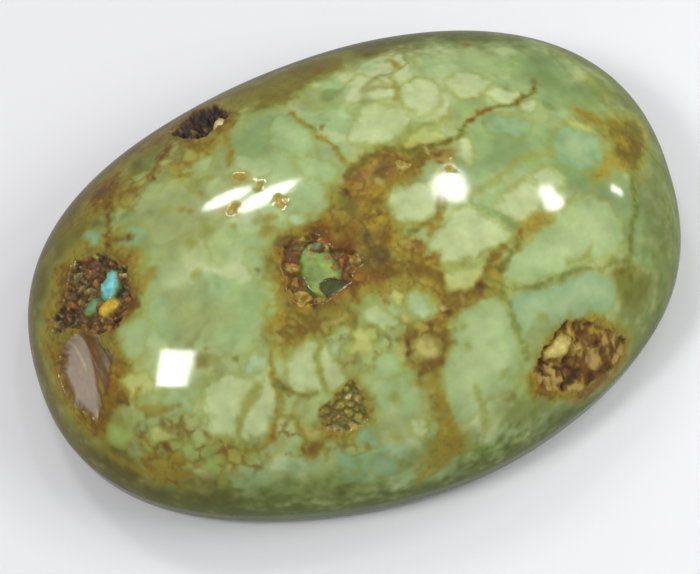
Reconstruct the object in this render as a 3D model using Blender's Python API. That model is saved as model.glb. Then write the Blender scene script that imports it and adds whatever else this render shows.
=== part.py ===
"""A hand-cut, polished cabochon of variscite in brown ironstone matrix, as one solid.

The stone is a domed oval with a low wall and a flat, bevelled base. Where the soft
matrix broke out under the polishing wheel there are open hollows. Their floors are
lumpy, or stepped where the rock fractured, and a few bigger grains and crystals still
stand in them, below the polished skin. Lengths are millimetres until MM makes metres.
"""

import math

import bmesh
import bpy
import numpy as np
from mathutils import Vector, noise
from mathutils.geometry import delaunay_2d_cdt

MM = 0.001

# Outline of the stone at its widest level: a superellipse, with the slight
# unevenness of a hand-cut stone as (cosine, sine) shares of 2, 3 and 4 waves a turn.
HALF_LENGTH = 18.0
HALF_WIDTH = 12.75
OUTLINE_EXPONENT = 2.45
UNEVENNESS = {2: (0.0, 0.0242), 3: (-0.0100, 0.0100), 4: (0.0164, 0.0048)}

# Section of the stone, from the flat base up
HEIGHT = 10.5
GIRDLE_HEIGHT = 2.2
BEVEL_HEIGHT = 0.8
BEVEL_SHARE = 0.985
BASE_SHARE = 0.955
DOME_EXPONENT_OUT = 2.3
DOME_EXPONENT_UP = 2.1
MEAN_RADIUS = 15.4

# Spacing of the surface's points on the open dome and in the hollows, and how far
# past a hollow's edge the fine points go on
COARSE_STEP = 1.05
FINE_STEP = 0.26
FINE_MARGIN = 0.30
STEP_CHANGE_GAP = 0.35
GIRDLE_POINTS = 112
EDGE_ROW_SHARE = 0.972
LATTICE_SHARE = 0.95

STONE_COLOUR = (0.45, 0.58, 0.33, 1.0)
STONE_ROUGHNESS = 0.12
SHARP_ANGLE = math.radians(28.0)

# A hollow's rim strays from its outline by this much, in waves of this length.
RIM_RAGGEDNESS = 0.16
RIM_WAVE = 0.8
# A hollow's depth fades out over this last part of the way to the girdle.
GIRDLE_FADE = 0.05

# Hollows. Their outlines are points on the plan; depths are below the polished skin.
CENTRE_VUG = [(-4.5, -0.4), (-3.7, 0.0), (-2.6, -0.4), (-1.9, -1.5), (-0.9, -1.9), (-0.7, -2.9),
              (-1.5, -3.2), (-2.1, -3.8), (-3.3, -4.1), (-4.7, -4.0), (-5.1, -2.8), (-4.9, -1.2)]
LEFT_VUG = [(-15.1, 3.8), (-13.4, 3.5), (-12.4, 1.8), (-12.7, 0.0), (-13.8, -1.0), (-15.0, -0.9),
            (-15.9, 0.2), (-17.2, 0.7), (-16.8, 1.7), (-15.9, 2.2)]
DARK_VUG = [(-5.9, 10.6), (-4.8, 10.3), (-4.3, 8.9), (-5.2, 8.2), (-6.1, 7.8), (-7.2, 8.3),
            (-7.8, 9.4), (-6.8, 9.9)]
LOWER_VUG = [(-3.5, -8.1), (-3.0, -9.0), (-3.1, -10.2), (-4.3, -10.5), (-5.4, -9.9), (-5.6, -9.0),
             (-4.6, -8.8)]
QUARTZ_CHIP = [(-15.9, 0.0), (-15.0, -0.9), (-14.7, -2.3), (-15.3, -3.6), (-16.4, -4.9),
               (-17.2, -3.6), (-17.6, -2.3), (-17.5, -1.0), (-16.8, -0.2)]
BROKEN_LEDGE = [(8.3, -8.3), (9.6, -8.3), (10.8, -8.8), (10.3, -9.6), (9.4, -9.8), (8.9, -10.3),
                (7.9, -10.7), (6.9, -10.6), (6.2, -10.4), (6.4, -9.7), (7.3, -9.1)]
QUARTZ_SCALLOPS = [((-16.6, -1.7), 1.9), ((-15.4, -2.6), 1.7)]

# Small pits as plan place and radius, and narrow cracks as plan routes
PITS = {(-5.15, 4.2): 0.42, (-6.1, 2.7): 0.38, (-4.6, 3.4): 0.36, (-3.7, 2.1): 0.38,
        (3.0, 1.9): 0.34, (5.4, 1.0): 0.32, (-2.7, -9.9): 0.30, (1.1, -6.6): 0.34}
PIT_DEPTH = 0.28
CRACKS = [
    [(-7.6, 9.0), (-8.2, 8.2), (-8.9, 7.0), (-9.3, 6.5)],
    [(-11.2, 8.3), (-11.9, 7.0), (-12.5, 5.4), (-13.1, 4.4), (-13.4, 3.5)],
    [(8.0, -10.4), (7.8, -10.8), (7.6, -11.2)],
    [(10.7, -10.2), (9.5, -10.5), (8.7, -10.9)],
]
CRACK_HALF_WIDTH = 0.32
CRACK_DEPTH = 0.30

# Grains and crystals left standing in the hollows: middle on the plan, half length,
# half width, direction of the length in degrees, depth of the top, and if it has facets
GRAINS = [
    ((-2.9, -2.1), 1.30, 0.80, 82.0, 0.30, True),
    ((-4.15, -1.5), 0.50, 0.42, 40.0, 0.12, False),
    ((-3.75, -0.85), 0.40, 0.30, 120.0, 0.15, False),
    ((-2.75, -0.75), 0.50, 0.26, 10.0, 0.10, False),
    ((-1.45, -2.15), 0.48, 0.36, 150.0, 0.10, False),
    ((-4.4, -2.55), 0.42, 0.36, 0.0, 0.22, False),
    ((-13.65, 1.45), 0.98, 0.50, 55.0, 0.06, False),
    ((-14.1, 0.35), 0.60, 0.36, 25.0, 0.08, True),
    ((-14.85, 0.9), 0.60, 0.34, 20.0, 0.25, False),
    ((-15.9, 1.2), 0.62, 0.45, 60.0, 0.10, False),
    ((-5.1, 8.75), 0.42, 0.28, 100.0, 0.10, True),
]
# A facetted grain is flat up to this share of its half size, with bevelled corners.
FLAT_TOP_SHARE = 0.55
CORNER_SLOPE = 0.62
ROUND_GRAIN_FALL = 0.55


def smoothstep(low, high, values):
    share = np.clip((values - low) / (high - low), 0.0, 1.0)
    return share * share * (3.0 - 2.0 * share)


def outline_radius(angles):
    """Distance from the middle to the stone's widest edge, in those directions."""
    along = (np.abs(np.cos(angles)) / HALF_LENGTH) ** OUTLINE_EXPONENT
    across = (np.abs(np.sin(angles)) / HALF_WIDTH) ** OUTLINE_EXPONENT
    radii = (along + across) ** (-1.0 / OUTLINE_EXPONENT)
    for waves, (cosine, sine) in UNEVENNESS.items():
        radii = radii * (1.0 + cosine * np.cos(waves * angles) + sine * np.sin(waves * angles))
    return radii


def dome_height(shares):
    """Height of the dome where the plan radius is this share of the outline's."""
    lift = np.clip(1.0 - shares**DOME_EXPONENT_OUT, 0.0, 1.0) ** (1.0 / DOME_EXPONENT_UP)
    return GIRDLE_HEIGHT + (HEIGHT - GIRDLE_HEIGHT) * lift


def dome_profile():
    """Length along the dome's mean profile, and its share of the outline's radius."""
    shares = 1.0 - (1.0 - np.linspace(0.0, 1.0, 800)) ** 3
    out_steps = np.diff(shares * MEAN_RADIUS)
    up_steps = np.diff(dome_height(shares))
    lengths = np.concatenate(([0.0], np.cumsum(np.hypot(out_steps, up_steps))))
    return lengths, shares


PROFILE_LENGTHS, PROFILE_SHARES = dome_profile()
SKIN_STRETCH = PROFILE_LENGTHS[-1] / MEAN_RADIUS


def plan_to_skin(points):
    """Unrolled places of plan points, in which distances run along the dome."""
    points = np.atleast_2d(points).astype(float)
    angles = np.arctan2(points[:, 1], points[:, 0])
    shares = np.hypot(points[:, 0], points[:, 1]) / outline_radius(angles)
    lengths = np.interp(shares, PROFILE_SHARES, PROFILE_LENGTHS) / MEAN_RADIUS
    unrolled = lengths * outline_radius(angles)
    return np.column_stack((unrolled * np.cos(angles), unrolled * np.sin(angles)))


def edge_shares(spots):
    """How far each unrolled place is on the way from the apex to the girdle."""
    angles = np.arctan2(spots[:, 1], spots[:, 0])
    return np.hypot(spots[:, 0], spots[:, 1]) / (outline_radius(angles) * SKIN_STRETCH)


def skin_to_dome(spots):
    """The points of the polished dome at those unrolled places."""
    angles = np.arctan2(spots[:, 1], spots[:, 0])
    lengths = np.minimum(edge_shares(spots), 1.0) * PROFILE_LENGTHS[-1]
    shares = np.interp(lengths, PROFILE_LENGTHS, PROFILE_SHARES)
    radii = shares * outline_radius(angles)
    return np.column_stack((radii * np.cos(angles), radii * np.sin(angles), dome_height(shares)))


def dome_normals(spots):
    """Outward normals of the polished dome, from neighbours along the skin."""
    reach = np.array([0.05, 0.0])
    along_u = skin_to_dome(spots + reach) - skin_to_dome(spots - reach)
    along_v = skin_to_dome(spots + reach[::-1]) - skin_to_dome(spots - reach[::-1])
    normals = np.cross(along_u, along_v)
    return normals / np.linalg.norm(normals, axis=1)[:, None]


def route_distance(spots, route):
    """Distance from each place to a chain of straight stretches."""
    nearest = np.full(len(spots), np.inf)
    for start, end in zip(route, route[1:]):
        span = end - start
        share = np.clip((spots - start) @ span / (span @ span), 0.0, 1.0)
        gap = spots - start - share[:, None] * span
        nearest = np.minimum(nearest, np.hypot(gap[:, 0], gap[:, 1]))
    return nearest


def depth_inside(spots, outline):
    """Distance to a closed outline: positive inside it, negative outside."""
    closed = np.vstack((outline, outline[:1]))
    inside = np.zeros(len(spots), dtype=bool)
    for start, end in zip(closed, closed[1:]):
        spans = (start[1] > spots[:, 1]) != (end[1] > spots[:, 1])
        slope = (end[0] - start[0]) / (end[1] - start[1])
        inside ^= spans & (spots[:, 0] < start[0] + (spots[:, 1] - start[1]) * slope)
    return np.where(inside, 1.0, -1.0) * route_distance(spots, closed)


def rounded_lumps(places, size, seed):
    """Height, 0 to 1, of a crust of rounded grains of that size."""
    gaps = np.array([noise.voronoi(Vector(place) / size + Vector((seed, 0, 0)))[0][0]
                     for place in places])
    return np.sqrt(np.clip(1.0 - (gaps / 0.72) ** 2, 0.0, 1.0))


def fracture_steps(places, size, seed):
    """Depth, 0 to 1, of blocks of fractured rock with open joints between them."""
    levels = []
    for place in places:
        distances, cells = noise.voronoi(Vector(place) / size + Vector((seed, 0, 0)))
        joint = max(0.0, 1.0 - (distances[1] - distances[0]) / 0.16)
        levels.append(0.75 * noise.cell(cells[0] * 7.3) + 0.6 * joint
                      + 0.35 * noise.noise(Vector(place) / size))
    return np.clip(levels, 0.0, 1.0)


def crust_floor(depth, grain, seed):
    """A hollow lined with rounded grains. The tallest ones end just below the skin."""

    def floor(places, spots, inside):
        big = rounded_lumps(places, grain, seed)
        small = rounded_lumps(places, grain * 0.55, seed + 9.0)
        return smoothstep(0.0, 0.30, inside) * depth * (1.0 - 0.62 * big - 0.22 * small)

    return floor


def broken_floor(depth, block, seed):
    """A hollow where blocks of rock broke away."""

    def floor(places, spots, inside):
        steps = fracture_steps(places, block, seed)
        return smoothstep(0.0, 0.22, inside) * depth * (0.35 + 0.65 * steps)

    return floor


def chip_floor(depth, scallops):
    """A smooth chip: scallops that meet in a ridge."""

    def floor(places, spots, inside):
        dish = np.zeros(len(spots))
        for middle, radius in scallops:
            gap = spots - plan_to_skin(middle)
            dish = np.maximum(dish, 1.0 - (gap**2).sum(axis=1) / radius**2)
        return smoothstep(0.0, 0.35, inside) * depth * (0.35 + 0.65 * dish)

    return floor


def dished_floor(depth, half_width):
    def floor(places, spots, inside):
        return depth * smoothstep(0.0, half_width, inside)

    return floor


HOLLOWS = [
    (CENTRE_VUG, crust_floor(depth=0.95, grain=0.78, seed=3.0)),
    (LEFT_VUG, crust_floor(depth=1.00, grain=0.86, seed=11.0)),
    (DARK_VUG, crust_floor(depth=1.25, grain=0.80, seed=23.0)),
    (LOWER_VUG, crust_floor(depth=0.55, grain=0.66, seed=31.0)),
    (BROKEN_LEDGE, broken_floor(depth=0.85, block=0.95, seed=5.0)),
    (QUARTZ_CHIP, chip_floor(depth=0.75, scallops=QUARTZ_SCALLOPS)),
]


def recesses():
    """Every hollow, pit and crack as (distance inside it, depth of its floor)."""
    found = []
    for outline, floor in HOLLOWS:
        edge = plan_to_skin(outline)
        found.append((lambda spots, edge=edge: depth_inside(spots, edge), floor))
    for middle, radius in PITS.items():
        centre = plan_to_skin(middle)
        found.append((
            lambda spots, centre=centre, radius=radius: radius
            - np.hypot(*(spots - centre).T),
            dished_floor(PIT_DEPTH, radius),
        ))
    for route in CRACKS:
        bends = plan_to_skin(route)
        found.append((
            lambda spots, bends=bends: CRACK_HALF_WIDTH - route_distance(spots, bends),
            dished_floor(CRACK_DEPTH, CRACK_HALF_WIDTH),
        ))
    return found


def grain_depths(spots):
    """Depth of the tops of the standing grains: far below where there is none."""
    depths = np.full(len(spots), np.inf)
    for middle, half_length, half_width, turn, top, facets in GRAINS:
        gap = spots - plan_to_skin(middle)
        c, s = math.cos(math.radians(turn)), math.sin(math.radians(turn))
        along = np.abs(gap @ np.array([c, s])) / half_length
        across = np.abs(gap @ np.array([-s, c])) / half_width
        if facets:
            sides = np.maximum(np.maximum(along, across), CORNER_SLOPE * (along + across))
            fall = np.maximum(0.0, sides - FLAT_TOP_SHARE)
        else:
            fall = ROUND_GRAIN_FALL * (along**2 + across**2)
        depths = np.minimum(depths, top + fall)
    return depths


def skin_depths(places, spots, hollows):
    """How far below the polished skin the surface is, at each place."""
    stray = np.array([noise.fractal(Vector((u, v, 0)) / RIM_WAVE, 0.7, 2.0, 3) for u, v in spots])
    depths = np.zeros(len(spots))
    for inside, floor in hollows:
        within = inside(spots) + RIM_RAGGEDNESS * stray
        sunk = within > 0.0
        if sunk.any():
            levels = floor(places[sunk], spots[sunk], within[sunk])
            depths[sunk] = np.maximum(depths[sunk], levels)
    depths = np.minimum(depths, grain_depths(spots))
    return depths * smoothstep(1.0, 1.0 - GIRDLE_FADE, edge_shares(spots))


def lattice(step):
    """A triangular lattice over the unrolled skin, up to near its edge."""
    reach = HALF_LENGTH * SKIN_STRETCH * 1.1
    row_step = step * math.sqrt(3.0) / 2.0
    count = int(reach / row_step)
    rows, columns = np.mgrid[-count:count + 1, -count:count + 1]
    across = columns * step + 0.5 * step * (rows % 2)
    spots = np.column_stack((across.ravel(), (rows * row_step).ravel()))
    return spots[edge_shares(spots) < LATTICE_SHARE]


def girdle_row(share, turn):
    """Points once round the unrolled skin, at that share of the way to its edge."""
    angles = 2.0 * math.pi * (np.arange(GIRDLE_POINTS) + turn) / GIRDLE_POINTS
    radii = outline_radius(angles) * SKIN_STRETCH * share
    return np.column_stack((radii * np.cos(angles), radii * np.sin(angles)))


def skin_points(hollows):
    """The girdle, a row inside it, a coarse lattice, and a fine one at the hollows."""
    coarse, fine = lattice(COARSE_STEP), lattice(FINE_STEP)
    coarse_reach = np.max([inside(coarse) for inside, _ in hollows], axis=0)
    fine_reach = np.max([inside(fine) for inside, _ in hollows], axis=0)
    return np.vstack((
        girdle_row(1.0, 0.0),
        girdle_row(EDGE_ROW_SHARE, 0.5),
        coarse[coarse_reach < -FINE_MARGIN - STEP_CHANGE_GAP],
        fine[fine_reach > -FINE_MARGIN],
    ))


def build_dome(mesh):
    """Adds the dome's faces, and gives its edge as a ring of vertices in order."""
    hollows = recesses()
    spots = skin_points(hollows)
    flat = [Vector(spot) for spot in spots]
    _, _, faces, origins, _, _ = delaunay_2d_cdt(flat, [], [], 0, 1e-6)
    order = np.array([origin[0] for origin in origins])
    spots = spots[order]
    places = skin_to_dome(spots)
    places -= skin_depths(places, spots, hollows)[:, None] * dome_normals(spots)
    verts = [mesh.verts.new(place) for place in places * MM]
    for corners in faces:
        mesh.faces.new([verts[corner] for corner in corners])
    number = {origin: index for index, origin in enumerate(order)}
    return [verts[number[index]] for index in range(GIRDLE_POINTS)]


def build_wall_and_base(mesh, girdle):
    """Adds the low wall, the bevel at its foot and the flat base."""
    ring = girdle
    for height, share in ((BEVEL_HEIGHT, BEVEL_SHARE), (0.0, BASE_SHARE)):
        lower = [mesh.verts.new((v.co.x * share, v.co.y * share, height * MM)) for v in girdle]
        for index in range(len(ring)):
            after = (index + 1) % len(ring)
            mesh.faces.new((ring[index], lower[index], lower[after], ring[after]))
        ring = lower
    mesh.faces.new(ring[::-1])


def stone_material():
    material = bpy.data.materials.new("polished_variscite")
    material.use_nodes = True
    surface = material.node_tree.nodes["Principled BSDF"]
    surface.inputs["Base Color"].default_value = STONE_COLOUR
    surface.inputs["Roughness"].default_value = STONE_ROUGHNESS
    surface.inputs["Metallic"].default_value = 0.0
    return material


def build_stone():
    mesh = bmesh.new()
    girdle = build_dome(mesh)
    build_wall_and_base(mesh, girdle)
    bmesh.ops.recalc_face_normals(mesh, faces=mesh.faces)
    data = bpy.data.meshes.new("variscite_stone")
    mesh.to_mesh(data)
    mesh.free()
    data.materials.append(stone_material())
    data.shade_smooth()
    data.set_sharp_from_angle(angle=SHARP_ANGLE)
    stone = bpy.data.objects.new("variscite_stone", data)
    bpy.context.scene.collection.objects.link(stone)


def main():
    for item in list(bpy.data.objects):
        bpy.data.objects.remove(item)
    build_stone()


main()
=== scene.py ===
"""The looks of the polished variscite cabochon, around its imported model.

The stone is made again with a fine surface. Its outline, dome and wall and the plan
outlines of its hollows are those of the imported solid, and the hollows' floors are finer
and shallower. Its markings are painted on the points of that surface: clouds of green,
pale nodules, olive and brown veins, brown matrix, and the grains in the hollows.
Lengths are millimetres until MM makes metres.
"""
import math

import bmesh
import bpy
import numpy as np
from mathutils import Matrix, Quaternion, Vector, noise
from mathutils.geometry import delaunay_2d_cdt


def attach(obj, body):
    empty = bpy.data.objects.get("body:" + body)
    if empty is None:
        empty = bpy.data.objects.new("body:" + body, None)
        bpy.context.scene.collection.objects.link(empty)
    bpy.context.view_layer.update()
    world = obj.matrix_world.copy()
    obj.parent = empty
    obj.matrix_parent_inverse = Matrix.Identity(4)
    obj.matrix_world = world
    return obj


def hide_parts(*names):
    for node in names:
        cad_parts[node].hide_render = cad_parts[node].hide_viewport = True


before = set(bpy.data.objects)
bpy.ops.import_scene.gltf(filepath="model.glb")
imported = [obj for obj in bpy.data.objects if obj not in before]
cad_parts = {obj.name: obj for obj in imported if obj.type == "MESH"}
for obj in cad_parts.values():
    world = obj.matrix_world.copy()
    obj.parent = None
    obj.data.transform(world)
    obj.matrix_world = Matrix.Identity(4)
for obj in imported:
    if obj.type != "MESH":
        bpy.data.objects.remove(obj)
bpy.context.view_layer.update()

MM = 0.001
STONE = "variscite_stone"

# Outline of the stone at its widest level: a superellipse, with the slight
# unevenness of a hand-cut stone as (cosine, sine) shares of 2, 3 and 4 waves a turn.
HALF_LENGTH = 18.0
HALF_WIDTH = 12.75
OUTLINE_EXPONENT = 2.45
UNEVENNESS = {2: (0.0, 0.0242), 3: (-0.0100, 0.0100), 4: (0.0164, 0.0048)}

# Section of the stone, from the flat base up
HEIGHT = 10.5
GIRDLE_HEIGHT = 2.2
BEVEL_HEIGHT = 0.8
BEVEL_SHARE = 0.985
BASE_SHARE = 0.955
DOME_EXPONENT_OUT = 2.3
DOME_EXPONENT_UP = 2.1
MEAN_RADIUS = 15.4
# Rows in the table of the dome's profile
PROFILE_ROWS = 800

# Spacing of the surface's points on the open dome, in the hollows, on the base and down
# the wall
OPEN_STEP = 0.138
HOLLOW_STEP = 0.080
BASE_STEP = 0.60
WALL_STEP = 0.27
# The fine points go on this far past a hollow's edge, and the open ones start a gap later.
FINE_MARGIN = 0.22
STEP_CHANGE_GAP = 0.05
# Points once round the girdle, and how far towards it the points of the dome go
GIRDLE_POINTS = 620
LATTICE_SHARE = 0.995

# A hollow's rim strays from its outline by this much, in waves of these lengths.
RIM_RAGGEDNESS = {0.8: 0.16, 0.3: 0.10}
# A hollow's depth fades out over this last part of the way to the girdle.
GIRDLE_FADE = 0.05

# A seed moves the noise by this much of itself along each axis.
SEED_SPREAD = (7.3, 3.1, 1.7)
# A grain's two numbers are read from the cell noise at these multiples of its middle.
CELL_SCALES = (7.3, 11.9)

# Colours of the stone, as red, green and blue bytes
PALETTE = {
    "pale": (190, 201, 142), "mint": (159, 182, 119), "jade": (125, 150, 91),
    "sage": (152, 160, 95), "teal": (135, 168, 121), "bluish": (173, 197, 149),
    "lime": (193, 197, 110), "leaf": (146, 149, 60), "moss": (90, 101, 27),
    "olive": (103, 92, 16), "bronze": (143, 119, 25), "amber": (131, 90, 9),
    "brown": (104, 67, 4), "umber": (70, 41, 4), "maroon": (40, 16, 12),
    "tan": (172, 143, 76), "sand": (188, 174, 98), "ochre": (194, 160, 42),
    "gold": (165, 143, 36), "rust": (131, 73, 10), "grey": (116, 116, 84),
    "mauve": (166, 148, 128), "turquoise": (126, 200, 204), "seagreen": (96, 144, 100),
    "bottle": (70, 84, 28), "fern": (144, 165, 78), "copper": (157, 107, 28),
    # The two rim colours at the end of these lines are partly painted shade along the girdle.
    "cream": (218, 204, 150), "ash": (130, 118, 94), "rim_shaded_brown": (84, 68, 4),
    "rim_shaded_green": (76, 90, 14), "crystal": (126, 147, 68),
}

# Hollows. Their outlines are points on the plan; depths are below the polished skin.
CENTRE_VUG = [(-4.5, -0.4), (-3.7, 0.0), (-2.6, -0.4), (-1.9, -1.5), (-0.9, -1.9), (-0.7, -2.9),
              (-1.5, -3.2), (-2.1, -3.8), (-3.3, -4.1), (-4.7, -4.0), (-5.1, -2.8), (-4.9, -1.2)]
LEFT_VUG = [(-15.1, 3.8), (-13.4, 3.5), (-12.4, 1.8), (-12.7, 0.0), (-13.8, -1.0), (-15.0, -0.9),
            (-15.9, 0.2), (-17.2, 0.7), (-16.8, 1.7), (-15.9, 2.2)]
DARK_VUG = [(-5.9, 10.6), (-4.8, 10.3), (-4.3, 8.9), (-5.2, 8.2), (-6.1, 7.8), (-7.2, 8.3),
            (-7.8, 9.4), (-6.8, 9.9)]
LOWER_VUG = [(-3.5, -8.1), (-3.0, -9.0), (-3.1, -10.2), (-4.3, -10.5), (-5.4, -9.9), (-5.6, -9.0),
             (-4.6, -8.8)]
QUARTZ_CHIP = [(-15.9, 0.0), (-15.0, -0.9), (-14.7, -2.3), (-15.3, -3.6), (-16.4, -4.9),
               (-17.2, -3.6), (-17.6, -2.3), (-17.5, -1.0), (-16.8, -0.2)]
BROKEN_LEDGE = [(8.3, -8.3), (9.6, -8.3), (10.8, -8.8), (10.3, -9.6), (9.4, -9.8), (8.9, -10.3),
                (7.9, -10.7), (6.9, -10.6), (6.2, -10.4), (6.4, -9.7), (7.3, -9.1)]
QUARTZ_SCALLOPS = [((-16.6, -1.7), 1.9), ((-15.4, -2.6), 1.7)]
# The worn rock round the broken ledge, out to the stone's low edge
LEDGE_RIM = [(8.5, -8.4), (9.5, -8.4), (10.6, -8.7), (11.9, -9.2), (11.5, -9.8), (10.2, -10.5),
             (8.6, -11.1), (7.2, -11.1), (6.1, -11.0), (6.0, -10.6), (6.7, -9.9), (7.8, -9.0)]
# The pale crystal that the chip laid bare, within it
CHIP_CRYSTAL = [(-16.2, 0.3), (-15.9, -0.4), (-16.0, -2.4), (-16.3, -4.8), (-16.7, -4.3),
                (-17.3, -2.8), (-17.5, -1.4), (-16.9, -0.4)]

# Small pits as plan place and radius, and narrow cracks as plan routes
PITS = {(-5.2, 4.3): 0.40, (-6.2, 2.6): 0.36, (-4.6, 3.4): 0.30, (-3.8, 2.1): 0.40,
        (3.0, 1.9): 0.30, (5.4, 1.0): 0.28, (-4.4, -3.5): 0.45}
PIT_DEPTH = 0.06
# A pit's edge waves by this much, with this many radians a millimetre along and across.
PIT_WOBBLE = 0.18
PIT_WAVES = (7.0, 9.0)
CRACKS = [
    [(9.5, -8.5), (9.3, -8.9), (9.2, -9.3)],
    [(8.7, -9.2), (8.5, -9.6), (8.2, -9.8), (8.1, -10.1)],
    [(6.8, -9.8), (7.0, -10.1), (7.5, -10.3), (7.8, -10.4), (7.8, -10.8), (7.5, -11.1)],
    [(8.2, -9.9), (8.7, -10.0), (9.3, -9.8)],
]
CRACK_HALF_WIDTH = 0.14
CRACK_DEPTH = 0.30

# Grains and crystals left standing in the hollows: outline on the plan, depth of the top, and
# colours of the top and of the flanks, the flanks' darker colour being partly the grain's own and
# partly painted shade round its foot
GRAINS = [
    ([(-3.7, -1.1), (-3.0, -1.0), (-2.3, -1.5), (-2.1, -3.2), (-2.6, -3.8), (-3.6, -3.7),
      (-4.1, -2.7)], 0.10, "crystal", "moss"),
    ([(-3.4, -0.7), (-2.6, -0.9), (-2.4, -1.4), (-3.2, -1.3)], 0.05, "moss", "umber"),
    ([(-3.2, -3.0), (-2.4, -3.2), (-2.0, -3.6), (-2.2, -4.0), (-2.6, -4.1), (-3.2, -3.8),
      (-3.4, -3.4)], 0.05, "bottle", "umber"),
    ([(-14.0, 1.6), (-13.7, 1.7), (-13.4, 2.2), (-13.1, 1.9), (-13.3, 1.1), (-13.8, 0.7),
      (-14.2, 0.9)], 0.03, "turquoise", "seagreen"),
    ([(-14.6, 0.4), (-14.2, 0.6), (-13.7, 0.5), (-13.6, 0.1), (-14.1, 0.0), (-14.5, 0.1)],
     0.05, "ochre", "gold"),
    ([(-14.9, 1.1), (-14.6, 1.2), (-14.3, 0.9), (-14.6, 0.6), (-15.2, 0.5), (-15.3, 0.8)],
     0.12, "seagreen", "moss"),
    ([(-13.0, 3.9), (-12.7, 3.9), (-12.7, 3.5), (-13.0, 3.5)], 0.05, "seagreen", "umber"),
    ([(-5.1, 8.9), (-4.8, 8.5), (-5.0, 7.7), (-5.4, 7.7), (-5.5, 8.3)], 0.03, "cream", "tan"),
    ([(-4.7, 8.6), (-4.1, 8.3), (-4.1, 7.8), (-4.7, 7.6), (-4.9, 8.1)], 0.06, "rust", "maroon"),
    ([(6.8, -9.8), (7.9, -9.0), (8.3, -8.9), (8.6, -9.2), (8.3, -9.6), (7.9, -9.8), (7.4, -9.8)],
     0.08, "sand", "bronze"),
]
# A grain's flanks fall at this slope, and their darker colour, partly painted shade, fades out over
# this width.
FLANK_SLOPE = 1.6
FLANK_SHADE_BLEND = 0.25
# Its top leans by this slope, each grain's by so many radians further round.
TOP_LEAN = 0.12
LEAN_TURN = 2.4
# No grain stands nearer to the polished skin than this.
LEAST_DEPTH = 0.02

# Soft zones of colour: middle on the plan, half length, half width, direction of the
# length in degrees, colour and strength
ZONES = [
    ((-10.0, 3.2), 4.2, 3.0, 20, "sage", 0.75),
    ((-14.6, 5.0), 2.6, 2.2, 60, "olive", 0.60),
    ((-12.6, 7.2), 2.6, 1.4, 40, "bronze", 0.75),
    ((-9.3, 8.3), 1.8, 0.9, 35, "moss", 0.55),
    ((-16.8, 3.2), 1.5, 3.0, 0, "moss", 0.55),
    ((-6.8, 9.6), 3.2, 1.3, 25, "olive", 0.75),
    ((-1.6, 9.9), 3.6, 1.4, 12, "olive", 0.80),
    ((3.6, 10.6), 4.0, 1.3, 4, "olive", 0.75),
    ((9.5, 9.9), 3.0, 1.2, -20, "moss", 0.50),
    ((-3.2, 6.3), 2.6, 1.9, 15, "jade", 0.70),
    ((-1.8, 3.6), 2.4, 2.2, 60, "mint", 0.80),
    ((-5.0, 1.0), 3.2, 1.6, 15, "mint", 0.55),
    ((-8.0, -3.4), 2.6, 2.6, 30, "mint", 0.50),
    ((-12.6, -1.6), 1.9, 2.4, 60, "mint", 0.55),
    ((-13.6, -4.0), 1.7, 1.6, 60, "leaf", 0.45),
    ((-9.8, -2.6), 1.4, 2.2, 80, "sage", 0.55),
    ((8.3, 7.4), 3.4, 1.6, 10, "mint", 0.60),
    ((12.6, 6.0), 2.4, 2.0, 60, "jade", 0.95),
    ((12.5, 4.8), 1.3, 1.1, 60, "moss", 0.25),
    ((13.6, 4.0), 2.2, 1.2, 0, "jade", 0.85),
    ((15.2, 4.6), 1.6, 1.4, -40, "leaf", 0.50),
    ((7.6, 1.4), 2.8, 1.8, 20, "jade", 0.60),
    ((9.6, 1.2), 2.6, 1.4, 10, "jade", 0.55),
    ((12.0, -0.8), 2.2, 1.8, -20, "jade", 0.95),
    ((13.6, -3.4), 2.8, 2.6, -50, "jade", 0.85),
    ((12.6, -2.7), 1.0, 0.8, 0, "grey", 0.30),
    ((15.8, -2.4), 1.3, 3.0, -10, "grey", 0.40),
    ((8.0, -5.2), 3.2, 2.0, 15, "mint", 0.55),
    ((4.2, -8.6), 2.4, 2.8, 70, "mint", 0.70),
    ((12.8, -7.2), 1.6, 2.2, 60, "olive", 0.60),
    ((13.2, -9.0), 2.2, 1.3, 55, "grey", 0.60),
    ((5.6, -11.4), 3.0, 1.2, 10, "moss", 0.40),
    ((7.2, -11.8), 2.6, 0.9, 15, "bottle", 0.45),
    ((0.0, -12.3), 3.2, 1.0, 0, "moss", 0.45),
    ((-6.2, -11.9), 4.4, 1.2, -5, "moss", 0.40),
    ((-12.6, -9.6), 2.6, 1.2, -35, "olive", 0.45),
    ((-15.9, -6.9), 1.8, 1.5, -50, "olive", 0.65),
    ((-17.3, -2.6), 0.9, 3.2, 0, "bronze", 0.70),
    ((-9.6, -10.9), 2.4, 1.2, -15, "jade", 0.60),
    ((-3.4, -11.9), 2.2, 1.0, 0, "teal", 0.50),
    ((-1.0, -9.2), 1.6, 1.6, 60, "mint", 0.55),
]

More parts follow.
